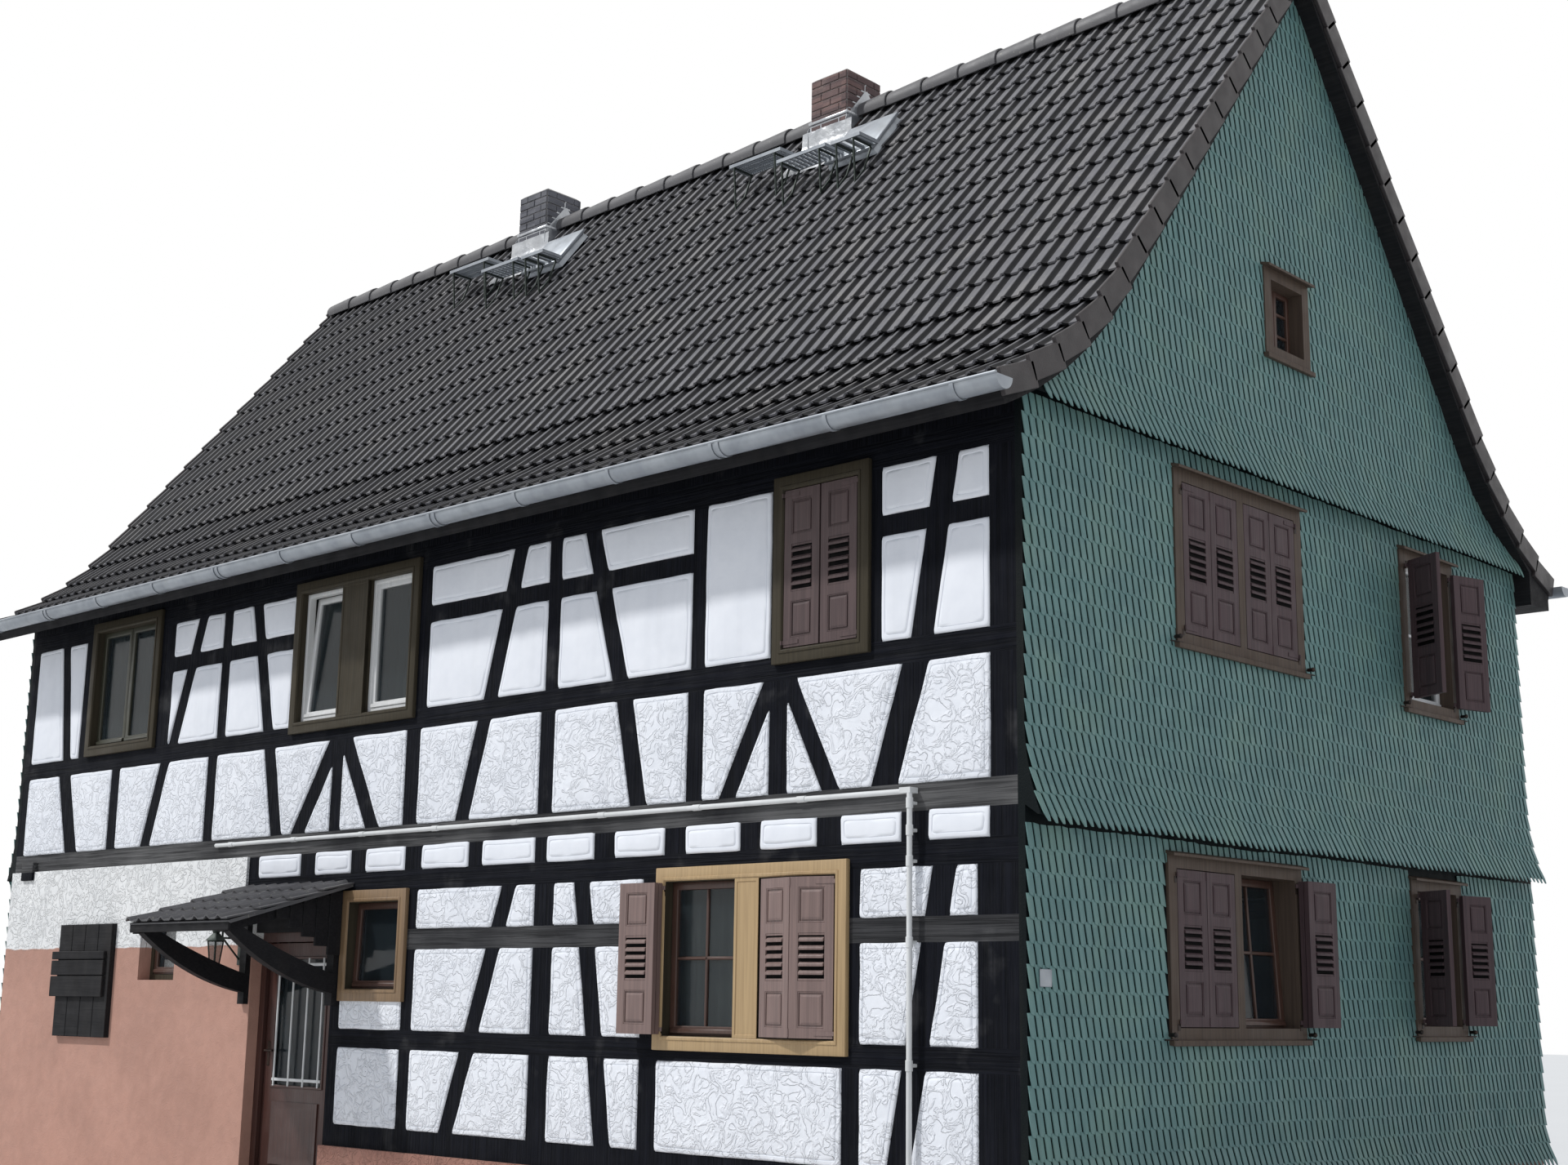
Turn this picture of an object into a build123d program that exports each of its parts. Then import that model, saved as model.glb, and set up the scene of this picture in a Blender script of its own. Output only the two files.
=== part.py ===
"""Half timbered house, two storeys under a steep tiled roof, in millimetres.

The working frame has X along the street front, from the left end towards the shingled gable at X = 0,
Y from the street front at Y = 0 towards the rear, and Z up from the ground. The finished pieces are
moved at the end so that the origin lies under the middle of the whole house.
"""
from build123d import *
import math
import os

# Whole house
house_length = 12000
house_depth = 6700
wall_thickness = 160
ground_floor_top = 180
plinth_height = 520
plinth_proud = 40

# Heights of the beams on the street front
ground_sill_height = 160
low_rail_bottom = 1250
low_rail_height = 140
mid_rail_bottom = 1980
mid_rail_height = 150
ground_plate_bottom = 2420
ground_plate_height = 150
joist_height = 180
upper_sill_height = 160
breast_rail_bottom = 3640
breast_rail_height = 150
head_rail_bottom = 4450
head_rail_height = 130
wall_plate_bottom = 4890
joist_band_bottom = ground_plate_bottom + ground_plate_height
joist_band_top = joist_band_bottom + joist_height
upper_sill_top = joist_band_top + upper_sill_height
infill_setback = 6

# Roof
eaves_rise = 259
roof_pitch = 52.0
eaves_pitch = 25.0
bell_cast_radius = 3300
eaves_overhang = 420
verge_overhang = 220
tile_depth = 60
deck_depth = 120
verge_flap_depth = 140
verge_flap_thickness = 28
ridge_tile_radius = 125
rear_soffit_rise = 10
ridge_gap = 20

# Gutters
gutter_radius = 78
gutter_wall = 4
gutter_run_past = 70

# Shingle cladding
cladding_thickness = 50
skirt_reach = 105
skirt_rise = 600
ground_skirt_reach = 60
ground_skirt_rise = 320
ground_tier_bottom = 535
upper_tier_bottom = 2680
attic_tier_bottom = 5170
skirt_tip = 14
tier_joint_rise = 60

# Masonry part of the street front and the door
masonry_end = -7720
masonry_thickness = 250
masonry_proud = 25
door_left = masonry_end
door_right = -6620
door_head = 2130
door_jamb = 75
door_frame_front = 70
door_frame_back = 150
door_gap = 8
door_leaf_thickness = 48

# Floors
floor_thickness = 190
board_thickness = 40
attic_floor_top = 5060
attic_floor_thickness = 150

# Windows
frame_bar = 90
frame_proud = 28
frame_lap = 70
rear_frame_lap = 50
rear_head_drop = 70
middle_mullion = 350
ground_mullion = 210
pair_mullion = 80
frame_inner_depth = 110
gable_frame_proud = 22
sash_bar = 48
sash_thickness = 46
sash_setback = 34
glass_thickness = 8

# Shutters
shutter_thickness = 34
shutter_gap = 6
shutter_meeting_gap = 14
shutter_stile = 62
shutter_sink = 10
shutter_hinge_reach = 8
shutter_hinge_side = 5
left_leaf_angle = 117
right_leaf_angle = 163
street_fold_angle = 12
folded_back_angle = 176

# Hinges of the shutters and the door
pin_radius = 4
pin_running_gap = 0.05
eye_radius = 7
strap_height = 26
strap_length = 130
strap_thickness = 4
lug_height = 12
lug_gap = 1
pintle_plate_height = 40
pintle_plate_width = 24
pintle_plate_thickness = 3
knuckle_radius = 6
knuckle_height = 50
hinge_sides = 12

# Chimneys, hatches and walkways
chimney_rise = 330
chimney_cap_height = 70
chimney_cap_proud = 30
chimney_left_x = -8400
chimney_right_x = -4335
chimney_width = 420
chimney_depth = 440
chimney_wall = 95
flashing_height = 150
flashing_wall = 8
hatch_width = 520
hatch_length = 510
hatch_raise = 90
hatch_below_ridge = 650
hatch_offset = 1110
walkway_depth = 240
walkway_thickness = 30
walkway_raise = 130
walkway_leg = 30
walkway_leg_inset = 50
walkway_starts = (-9060, -5050)
walkway_sections = ((0, 620, 520), (740, 560, 690), (1380, 320, 710))

# Fittings on the street front
lantern_x = -7900
lantern_y = -260
lantern_bottom = 1850
lantern_height = 210
lantern_radius = 75
pipe_radius = 17
pipe_height = 2865
pipe_left = -8400
pipe_right = -800
pipe_riser_x = -750
hatch_door = (-10870, -9930, 1250, 2240)
plank_thickness = 32

# Canopy over the door
canopy_left = -7850
bracket_inset = 120
canopy_right = -6390
canopy_reach = 1100
canopy_wall_height = 2520
canopy_edge_height = 2190
canopy_tile_depth = 45
canopy_beam = 90
canopy_post = 70
strut_foot = 1640
strut_width = 140

centre_y = house_depth / 2
upper_floor_top = joist_band_top + board_thickness


def block(x0, x1, y0, y1, z0, z1):
    """A rectangular block between the given planes."""
    return Pos((x0 + x1) / 2, (y0 + y1) / 2, (z0 + z1) / 2) * Box(x1 - x0, y1 - y0, z1 - z0)


def prism_y(points, y0, y1):
    """A prism of an outline in X and Z, from y0 to y1."""
    outline = Face(Wire.make_polygon([(x, y0, z) for x, z in points]))
    return extrude(outline, amount=y1 - y0, dir=(0, 1, 0))


def prism_x(points, x0, x1):
    """A prism of an outline in Y and Z, from x0 to x1."""
    outline = Face(Wire.make_polygon([(x0, y, z) for y, z in points]))
    return extrude(outline, amount=x1 - x0, dir=(1, 0, 0))


def to_rear(shape):
    """The mirror image of a piece across the middle of the house's depth."""
    return mirror(shape, about=Plane(origin=(0, centre_y, 0), z_dir=(0, 1, 0)))


def to_left(shape):
    """The mirror image of a piece across the middle of the house's length."""
    return mirror(shape, about=Plane(origin=(-house_length / 2, 0, 0), z_dir=(1, 0, 0)))


def together(shapes):
    """Pieces that share a node but stay separate solids."""
    return Compound(children=[solid for shape in shapes for solid in shape.solids()])


# Roof section, as a straight slope that turns into a flatter curved foot
pitch = math.radians(roof_pitch)
foot = math.radians(eaves_pitch)
foot_y = -eaves_overhang + bell_cast_radius * (math.sin(pitch) - math.sin(foot))
curve_y = foot_y - bell_cast_radius * math.sin(pitch)
curve_z = wall_plate_bottom + eaves_rise + bell_cast_radius * math.cos(foot)
foot_z = curve_z - bell_cast_radius * math.cos(pitch)
ridge_height = foot_z + (centre_y - foot_y) * math.tan(pitch)
chimney_top = ridge_height + chimney_rise


def slope_point(depth, angle):
    """A point on the curved foot, at a depth under the tiles, where the slope has the given angle."""
    reach = bell_cast_radius + depth
    return curve_y + reach * math.sin(angle), curve_z - reach * math.cos(angle)


def apex(depth):
    """The top of the slope at a depth under the tiles."""
    return centre_y, ridge_height - depth / math.cos(pitch)


def slope_height(y, depth=0):
    """The height of the slope above a point on the street side, at a depth under the tiles."""
    straight = apex(depth)[1] - (centre_y - y) * math.tan(pitch)
    if y >= slope_point(depth, pitch)[0]:
        return straight
    reach = bell_cast_radius + depth
    return curve_z - math.sqrt(reach ** 2 - (y - curve_y) ** 2)


def slope_edges(depth, x):
    """The edges of the slope line from the ridge to the eaves, in the plane at x."""
    middle = (pitch + foot) / 2
    top, bend = apex(depth), slope_point(depth, pitch)
    mid, end = slope_point(depth, middle), slope_point(depth, foot)
    straight = Edge.make_line((x, *top), (x, *bend))
    curve = Edge.make_three_point_arc((x, *bend), (x, *mid), (x, *end))
    return [straight, curve]


def slope_layer(upper, lower, x0, x1):
    """A layer of the street slope between two depths, from x0 to x1."""
    edges = slope_edges(upper, x0) + slope_edges(lower, x0)
    edges.append(Edge.make_line((x0, *apex(upper)), (x0, *apex(lower))))
    edges.append(Edge.make_line((x0, *slope_point(upper, foot)), (x0, *slope_point(lower, foot))))
    return extrude(Face(Wire(edges)), amount=x1 - x0, dir=(1, 0, 0))


def under_roof(x0, x1, bottom):
    """Everything under the boarding, between the eaves and above the given height."""
    depth = tile_depth + deck_depth
    end = slope_point(depth, foot)
    edges = slope_edges(depth, x0)
    edges.append(Edge.make_line((x0, *end), (x0, end[0], bottom)))
    edges.append(Edge.make_line((x0, end[0], bottom), (x0, centre_y, bottom)))
    edges.append(Edge.make_line((x0, centre_y, bottom), (x0, *apex(depth))))
    half = extrude(Face(Wire(edges)), amount=x1 - x0, dir=(1, 0, 0))
    return half + to_rear(half)


def timber_wall(members, openings, x0, x1, z0, z1):
    """A timber frame through the wall's thickness, and the plaster panels between its timbers."""
    cuts = [block(ox0, ox1, -100, wall_thickness + 100, oz0, oz1) for ox0, ox1, oz0, oz1 in openings]
    frame = (Part() + members) - cuts
    panel = block(x0, x1, infill_setback, wall_thickness - infill_setback, z0, z1)
    return frame, panel - members - cuts


def post(x, width, z0, z1):
    """An upright timber centred on x."""
    return block(x - width / 2, x + width / 2, 0, wall_thickness, z0, z1)


def brace(x_top, x_bottom, width, z0, z1):
    """A leaning timber with its middle at x_top above and x_bottom below."""
    half = width / 2
    outline = [(x_bottom - half, z0), (x_bottom + half, z0), (x_top + half, z1), (x_top - half, z1)]
    return prism_y(outline, 0, wall_thickness)


def rail(x0, x1, bottom, height):
    """A level timber from x0 to x1."""
    return block(x0, x1, 0, wall_thickness, bottom, bottom + height)


# Windows of the street front as left, right, bottom and top of the outer casing
upper_windows = {
    "left": (-10790, -9570, 3790, 5040),
    "middle": (-7400, -5720, 3730, 4980),
    "right": (-1920, -1110, 3740, 4960),
}
ground_window = (-2940, -1270, 1320, 2480)
door_side_window = (-6490, -5680, 1600, 2430)
niche_window = (-9510, -8920, 1750, 2290)

# Windows of the gable as front, rear, bottom and top of the outer frame
gable_windows = {
    "lower_pair": (1420, 3030, 1420, 2560),
    "lower_single": (4600, 5400, 1440, 2580),
    "upper_pair": (1590, 3190, 3870, 5045),
    "upper_single": (4660, 5530, 3810, 5045),
}
attic_window = (2820, 3430, 6090, 6760)


def opening_of(window, lap=frame_lap):
    """The hole in the wall behind a window casing."""
    x0, x1, z0, z1 = window
    return x0 + lap, x1 - lap, z0 + lap, z1 - lap


def front_upper():
    """The upper storey's frame and panels on the street front."""
    sill, low, breast = upper_sill_top, breast_rail_bottom, breast_rail_bottom + breast_rail_height
    members = [
        rail(-house_length, 0, joist_band_top, upper_sill_height),
        rail(-house_length, 0, breast_rail_bottom, breast_rail_height),
        rail(-9450, -7330, head_rail_bottom, head_rail_height),
        rail(-5660, -2625, head_rail_bottom, head_rail_height),
        rail(-1110, 0, head_rail_bottom, head_rail_height),
        rail(-house_length, 0, wall_plate_bottom, ridge_height - wall_plate_bottom),
        post(-house_length + 70, 140, sill, wall_plate_bottom),
        post(-95, 190, sill, wall_plate_bottom),
    ]
    for x, width in [
        (-10215, 160), (-8575, 150), (-6705, 150), (-5720, 180), (-4140, 160), (-2635, 150), (-1880, 160),
    ]:
        members.append(post(x, width, sill, low))
    for x_top, x_bottom, width in [
        (-11175, -10945, 225), (-9365, -9610, 160), (-7700, -7525, 165), (-6740, -7220, 195),
        (-6610, -6200, 180), (-4865, -5085, 160), (-3335, -3170, 165), (-1940, -2330, 150),
        (-1800, -1430, 145), (-750, -995, 210),
    ]:
        members.append(brace(x_top, x_bottom, width, sill, low))
    for x, width in [
        (-10870, 160), (-9450, 230), (-8470, 140), (-7330, 160), (-5660, 170), (-4115, 140),
        (-2625, 130), (-1885, 150), (-1110, 180),
    ]:
        members.append(post(x, width, breast, wall_plate_bottom))
    for x_top, x_bottom, width in [
        (-11340, -11165, 150), (-8880, -9250, 155), (-8015, -7745, 150), (-4510, -4805, 165),
        (-3720, -3390, 160), (-500, -700, 175),
    ]:
        members.append(brace(x_top, x_bottom, width, breast, wall_plate_bottom))
    openings = [opening_of(window) for window in upper_windows.values()]
    frame, infill = timber_wall(members, openings, -house_length, 0, sill, wall_plate_bottom)
    return frame & under_roof(-house_length - 10, 10, 0), infill


def front_ground():
    """The ground storey's frame and panels right of the door."""
    sill = plinth_height + ground_sill_height
    plate = ground_plate_bottom
    members = [
        rail(door_right, 0, plinth_height, ground_sill_height),
        rail(door_right, 0, low_rail_bottom, low_rail_height),
        rail(-5630, -3020, mid_rail_bottom, mid_rail_height),
        rail(-1250, 0, mid_rail_bottom, mid_rail_height),
        post(door_right + 65, 130, sill, plate),
        post(-145, 290, sill, plate),
    ]
    for x, width in [(-5640, 140), (-4110, 210), (-3010, 170), (-1250, 140)]:
        members.append(post(x, width, sill, plate))
    for x_top, x_bottom, width in [(-4500, -5110, 165), (-3715, -3430, 165), (-530, -880, 180)]:
        members.append(brace(x_top, x_bottom, width, sill, plate))
    openings = [opening_of(ground_window), opening_of(door_side_window)]
    return timber_wall(members, openings, door_right, 0, sill, plate)


def joist_band():
    """The beam over the ground storey with the joist ends on it, and the panels between them."""
    joists = [
        (-7890, -7740), (-7140, -6930), (-6450, -6250), (-5750, -5540), (-4980, -4820), (-4230, -4100),
        (-3600, -3390), (-2900, -2700), (-2200, -2020), (-1540, -1340), (-860, -650), (-200, 0),
    ]
    start = joists[0][0]
    members = [rail(start, 0, ground_plate_bottom, ground_plate_height)]
    for x0, x1 in joists:
        members.append(rail(x0, x1, joist_band_bottom, joist_height))
    return timber_wall(members, [], start, 0, joist_band_bottom, joist_band_top)


def rear_storey(z0, z1, window_bottom, window_top):
    """A plain timber-framed storey of the rear wall, with three windows."""
    bays = 8
    width = 150
    step = (house_length - width) / bays
    sill_top = z0 + 160
    head_bottom = z1 - 160
    members = [rail(-house_length, 0, z0, 160), rail(-house_length, 0, head_bottom, 160)]
    members.append(rail(-house_length, 0, window_bottom - 140, 140))
    for index in range(bays + 1):
        members.append(post(-width / 2 - index * step, width, sill_top, head_bottom))
    for x_top, x_bottom in [(-300, -step + 100), (-house_length + 300, -house_length + step - 100)]:
        members.append(brace(x_top, x_bottom, width, sill_top, window_bottom - 140))
    windows = []
    for bay in (1, 3, 6):
        left = -width / 2 - (bay + 1) * step + width / 2
        windows.append((left, left + step - width, window_bottom, window_top))
    openings = [opening_of(window, rear_frame_lap) for window in windows]
    for x0, x1, _, top in windows:
        members.append(rail(x0, x1, top - rear_frame_lap, 120))
    frame, infill = timber_wall(members, openings, -house_length, 0, sill_top, head_bottom)
    return frame, infill, windows


def casing(window, lap, mullion=0):
    """A window casing with boards over the wall's face and a lining through it, and its clear lights."""
    x0, x1, z0, z1 = window
    ox0, ox1, oz0, oz1 = x0 + lap, x1 - lap, z0 + lap, z1 - lap
    board = block(x0, x1, -frame_proud, 0, z0, z1)
    lining = block(ox0, ox1, 0, frame_inner_depth, oz0, oz1)
    lights = split_light((x0 + frame_bar, x1 - frame_bar, z0 + frame_bar, z1 - frame_bar), mullion)
    holes = [block(light[0], light[1], -100, 400, light[2], light[3]) for light in lights]
    return (board + lining) - holes, lights


def split_light(light, mullion):
    """A clear opening, or the two on either side of a mullion."""
    if not mullion:
        return [light]
    low, high, z0, z1 = light
    middle = (low + high) / 2
    return [(low, middle - mullion / 2, z0, z1), (middle + mullion / 2, high, z0, z1)]


def sash(light, y0, leaves):
    """The sashes and panes in a clear opening, as a list of rings and a list of panes."""
    x0, x1, z0, z1 = light
    step = (x1 - x0) / leaves
    rings, panes = [], []
    for index in range(leaves):
        left = x0 + index * step + (1 if index else 0)
        right = x0 + (index + 1) * step - (1 if index < leaves - 1 else 0)
        hole = (left + sash_bar, right - sash_bar, z0 + sash_bar, z1 - sash_bar)
        ring = block(left, right, y0, y0 + sash_thickness, z0, z1)
        ring -= block(hole[0], hole[1], y0 - 10, y0 + sash_thickness + 10, hole[2], hole[3])
        front = y0 + (sash_thickness - glass_thickness) / 2
        pane = block(hole[0], hole[1], front, front + glass_thickness, hole[2], hole[3])
        rings.append(ring)
        panes.append(pane)
    return rings, panes


def gable_plate(z0, z1, windows):
    """A plain wall under the cladding, with its windows cut through."""
    wall = block(-wall_thickness, 0, wall_thickness, house_depth - wall_thickness, z0, z1)
    for y0, y1, wz0, wz1 in windows:
        wall -= block(-wall_thickness - 10, 10, y0, y1, wz0, wz1)
    return wall


def cladding(bottom, top, reach, rise, windows):
    """A tier of shingle cladding with its foot swept outwards."""
    face = cladding_thickness
    joint = bottom + tier_joint_rise
    tip = face + reach
    outward = (tip, 0, bottom + 8)
    halfway = (face + reach * 0.30, 0, bottom + rise * 0.42)
    edges = [
        Edge.make_line((0, 0, joint), (face, 0, joint)),
        Edge.make_line((face, 0, joint), (tip - skirt_tip, 0, bottom)),
        Edge.make_line((tip - skirt_tip, 0, bottom), outward),
        Edge.make_three_point_arc(outward, halfway, (face, 0, bottom + rise)),
        Edge.make_line((face, 0, bottom + rise), (face, 0, top)),
        Edge.make_line((face, 0, top), (0, 0, top)),
        Edge.make_line((0, 0, top), (0, 0, joint)),
    ]
    skin = extrude(Face(Wire(edges)), amount=house_depth, dir=(0, 1, 0))
    for y0, y1, wz0, wz1 in windows:
        skin -= block(-10, tip + 10, y0, y1, wz0, wz1)
    return skin


def gable_frame(window, mullion=0):
    """A window frame that stands through the gable wall and its cladding, and its clear lights."""
    y0, y1, z0, z1 = window
    front = cladding_thickness + gable_frame_proud
    ring = block(-frame_inner_depth, front, y0, y1, z0, z1)
    lights = split_light((y0 + frame_bar, y1 - frame_bar, z0 + frame_bar, z1 - frame_bar), mullion)
    holes = [block(-400, front + 10, light[0], light[1], light[2], light[3]) for light in lights]
    return ring - holes, lights


def gable_sash(light):
    """A sash and pane in a gable window."""
    turned = Pos(-sash_setback, 0, 0) * Rot(0, 0, 90)
    rings, panes = sash(light, 0, 1)
    return [turned * ring for ring in rings], [turned * pane for pane in panes]


def leaf(width, height):
    """A shutter leaf with a sunk panel above, a field for louvres and a sunk panel below."""
    body = block(0, width, 0, shutter_thickness, 0, height)
    field = (height - 4 * shutter_stile) / 4
    side = width - shutter_stile
    low = shutter_stile
    for share in (1.2, 1.6, 1.2):
        high = low + field * share
        body -= block(shutter_stile, side, -1, shutter_sink, low, high)
        body -= block(shutter_stile, side, shutter_thickness - shutter_sink, shutter_thickness + 1, low, high)
        low = high + shutter_stile
    return body


def leaf_size(light, middle_gap):
    """The width and height of each of the two leaves that fill a light."""
    low, high, z0, z1 = light
    return (high - low - 2 * shutter_gap - middle_gap) / 2, z1 - z0 - 2 * shutter_gap


leaf_edge = shutter_hinge_side + shutter_gap


def round_bar(radius, height, z0):
    """A bar with a few flats round the Z axis, its edges at the given radius."""
    return Pos(0, 0, z0) * extrude(RegularPolygon(radius, hinge_sides), amount=height)


def strap(height, swings=True):
    """A hinge strap with its eye round the Z axis, for the outer face of a leaf."""
    low, high = height - strap_height / 2, height + strap_height / 2
    eye = round_bar(eye_radius, strap_height, low)
    neck = block(0, leaf_edge + 5, -eye_radius, -pin_radius, low, high)
    face = -shutter_hinge_reach
    bar = block(leaf_edge, leaf_edge + strap_length, face, face + strap_thickness, low, high)
    if not swings:
        return eye + neck + bar
    bore = (pin_radius + pin_running_gap) / math.cos(math.pi / hinge_sides)
    return eye + neck + bar - round_bar(bore, strap_height + 2, low - 1)


def pintle(height, swings=True):
    """The pin in a strap's eye, on a lug and a plate that are fixed to the face beside the leaf."""
    top = height - strap_height / 2 - (lug_gap if swings else 0)
    pin = round_bar(pin_radius, strap_height + 2 * lug_gap + lug_height, top - lug_height)
    lug = block(-pin_radius, pin_radius - 1, -shutter_hinge_reach, 0, top - lug_height, top)
    plate = block(-pintle_plate_width, pin_radius - 1, -shutter_hinge_reach,
                  pintle_plate_thickness - shutter_hinge_reach, top - pintle_plate_height, top)
    return pin + lug + plate if swings else lug + plate


def hinge_heights(height):
    """The heights of a leaf's two hinges over its foot."""
    return shutter_stile / 2, height - shutter_stile / 2


def hung_leaf(width, height, swings=True):
    """A leaf with its straps, hung on the Z axis along X. One that never swings has solid eyes."""
    body = Pos(leaf_edge, -shutter_hinge_reach - shutter_thickness, 0) * leaf(width, height)
    return body + [strap(spot, swings) for spot in hinge_heights(height)]


def knuckles_at(joint, height):
    """The two knuckles that join a pair of leaves."""
    knuckle = round_bar(knuckle_radius, knuckle_height, -knuckle_height / 2)
    return [joint * Pos(0, 0, spot) * knuckle for spot in hinge_heights(height)]


def folding_pair(width, height, fold):
    """Two leaves joined by knuckles, hung on the Z axis, each turned out by the fold angle."""
    joint = Pos(leaf_edge + width + shutter_gap / 2, -shutter_hinge_reach, 0)
    second = joint * Rot(0, 0, -2 * fold) * Pos(shutter_gap / 2, -shutter_thickness, 0) * leaf(width, height)
    return Rot(0, 0, fold) * (hung_leaf(width, height, False) + second + knuckles_at(joint, height))


def folded_pair(width, height):
    """Two leaves joined by knuckles and folded flat against each other, hung on the Z axis."""
    first = shutter_hinge_reach + shutter_thickness
    second = Pos(leaf_edge, -first - shutter_gap - shutter_thickness, 0) * leaf(width, height)
    joint = Pos(leaf_edge + width, -first - shutter_gap / 2, 0)
    return hung_leaf(width, height, False) + second + knuckles_at(joint, height)


def at_hinge(light, shape, on_gable, on_left):
    """A piece drawn about a hinge on the Z axis, moved to the left or right hinge of a light."""
    low, high, z0, _ = light
    foot_height = z0 + shutter_gap
    if on_gable:
        out = cladding_thickness + gable_frame_proud + shutter_hinge_reach
        placed = Pos(out, high + shutter_hinge_side, foot_height) * Rot(0, 0, -90) * shape
        middle = Plane(origin=(0, (low + high) / 2, 0), z_dir=(0, 1, 0))
    else:
        out = frame_proud + shutter_hinge_reach
        placed = Pos(high + shutter_hinge_side, -out, foot_height) * Rot(0, 0, 180) * shape
        middle = Plane(origin=((low + high) / 2, 0, 0), z_dir=(1, 0, 0))
    return mirror(placed, about=middle) if on_left else placed


def pintles_of(light, height, on_gable, on_left, swings=True):
    """The two pintles of a leaf."""
    return [at_hinge(light, pintle(spot, swings), on_gable, on_left) for spot in hinge_heights(height)]


def half_round(radius, wall, x0, x1, y, z):
    """A half-round gutter with closed ends."""
    outer = Pos((x0 + x1) / 2, y, z) * Rot(0, 90, 0) * Cylinder(radius, x1 - x0)
    inner = Pos((x0 + x1) / 2, y, z) * Rot(0, 90, 0) * Cylinder(radius - wall, x1 - x0 - 2 * wall)
    above = block(x0 - 10, x1 + 10, y - radius - 10, y + radius + 10, z, z + radius + 10)
    return outer - inner - above


def chimney(x):
    """A brick stack through the ridge, open at the top, with a capping course."""
    y0, y1 = centre_y - chimney_depth / 2 - 20, centre_y + chimney_depth / 2 - 20
    x0, x1 = x - chimney_width / 2, x + chimney_width / 2
    base = attic_floor_top
    cap_foot = chimney_top - chimney_cap_height
    stack = block(x0, x1, y0, y1, base, chimney_top)
    proud, wall = chimney_cap_proud, chimney_wall
    stack += block(x0 - proud, x1 + proud, y0 - proud, y1 + proud, cap_foot, chimney_top)
    return stack - block(x0 + wall, x1 - wall, y0 + wall, y1 - wall, base + 200, chimney_top + 10)


def chimney_hole(x, extra=0):
    """The space of a stack, for cutting the roof round it."""
    y0, y1 = centre_y - chimney_depth / 2 - 20, centre_y + chimney_depth / 2 - 20
    x0, x1 = x - chimney_width / 2, x + chimney_width / 2
    return block(x0 - extra, x1 + extra, y0 - extra, y1 + extra, attic_floor_top, chimney_top + 100)


def slope_box(x0, x1, y0, y1, low, high):
    """A flat piece over the street slope, between two heights above the tiles."""
    points = [(y0, slope_height(y0, -low)), (y1, slope_height(y1, -low))]
    points += [(y1, slope_height(y1, -high)), (y0, slope_height(y0, -high))]
    return prism_x(points, x0, x1)


def six_sided(radius_below, radius_above, height):
    """A six-sided body that widens or narrows upwards."""
    lean = math.degrees(math.atan2(radius_below - radius_above, height))
    return extrude(RegularPolygon(radius_below, 6, major_radius=False), amount=height, taper=lean)


def strut(x):
    """A curved strut from the post up to the canopy's outer edge."""
    y_edge, z_edge = -canopy_reach, canopy_edge_height - canopy_tile_depth
    top = strut_foot + strut_width
    outer = ((x, 0, strut_foot), (x, y_edge * 0.42, strut_foot + 130), (x, y_edge + 90, z_edge - 40))
    inner = ((x, y_edge + 180, z_edge), (x, y_edge * 0.36, top + 130), (x, 0, top))
    edges = [
        Edge.make_three_point_arc(*outer),
        Edge.make_line(outer[2], inner[0]),
        Edge.make_three_point_arc(*inner),
        Edge.make_line(inner[2], outer[0]),
    ]
    return extrude(Face(Wire(edges)), amount=canopy_beam, dir=(1, 0, 0))


nodes = {}

# Street front
frame_upper, infill_upper = front_upper()
frame_ground, infill_ground = front_ground()
band, infill_band = joist_band()
nodes["front_upper_frame"] = frame_upper
nodes["front_ground_frame"] = frame_ground
nodes["joist_band"] = band
nodes["front_infill"] = together([infill_upper, infill_ground, infill_band])
inner_face = masonry_thickness - masonry_proud
masonry = block(-house_length, masonry_end, -masonry_proud, inner_face, 0, joist_band_top)
masonry -= block(-7890, masonry_end + 10, -100, wall_thickness, ground_plate_bottom, joist_band_top + 10)
masonry -= block(niche_window[0], niche_window[1], -100, 400, niche_window[2], niche_window[3])
nodes["front_masonry"] = masonry
nodes["door_header"] = block(door_left, door_right, 0, wall_thickness, door_head, ground_plate_bottom)

# Plinths, step and floors
inner_left, inner_right = -house_length + wall_thickness, -wall_thickness
inner_rear = house_depth - wall_thickness
proud = plinth_proud
plinth_front = block(door_right, 0, -proud, wall_thickness, 0, plinth_height)
plinth_rear = block(-house_length, 0, inner_rear, house_depth + proud, 0, plinth_height)
nodes["plinth_sides"] = together([plinth_front, plinth_rear])
plinth_gable = block(-wall_thickness, proud, wall_thickness, inner_rear, 0, plinth_height)
plinth_left = block(-house_length - proud, inner_left, inner_face, inner_rear, 0, plinth_height)
nodes["plinth_ends"] = together([plinth_gable, plinth_left])
step = block(door_left, door_right, -300, 0, 0, ground_floor_top - 20)
nodes["door_step"] = step + block(door_left, door_right, 0, wall_thickness, 0, ground_floor_top)
floor = block(inner_left, inner_right, inner_face, inner_rear, 0, ground_floor_top)
nodes["ground_floor"] = floor + block(door_left, inner_right, wall_thickness, inner_face, 0, ground_floor_top)
upper_floor_foot = upper_floor_top - floor_thickness
nodes["upper_floor"] = block(
    inner_left, inner_right, inner_face, inner_rear, upper_floor_foot, upper_floor_top)
attic_floor_foot = attic_floor_top - attic_floor_thickness
nodes["attic_floor"] = block(
    inner_left, inner_right, wall_thickness, inner_rear, attic_floor_foot, attic_floor_top)

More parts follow.
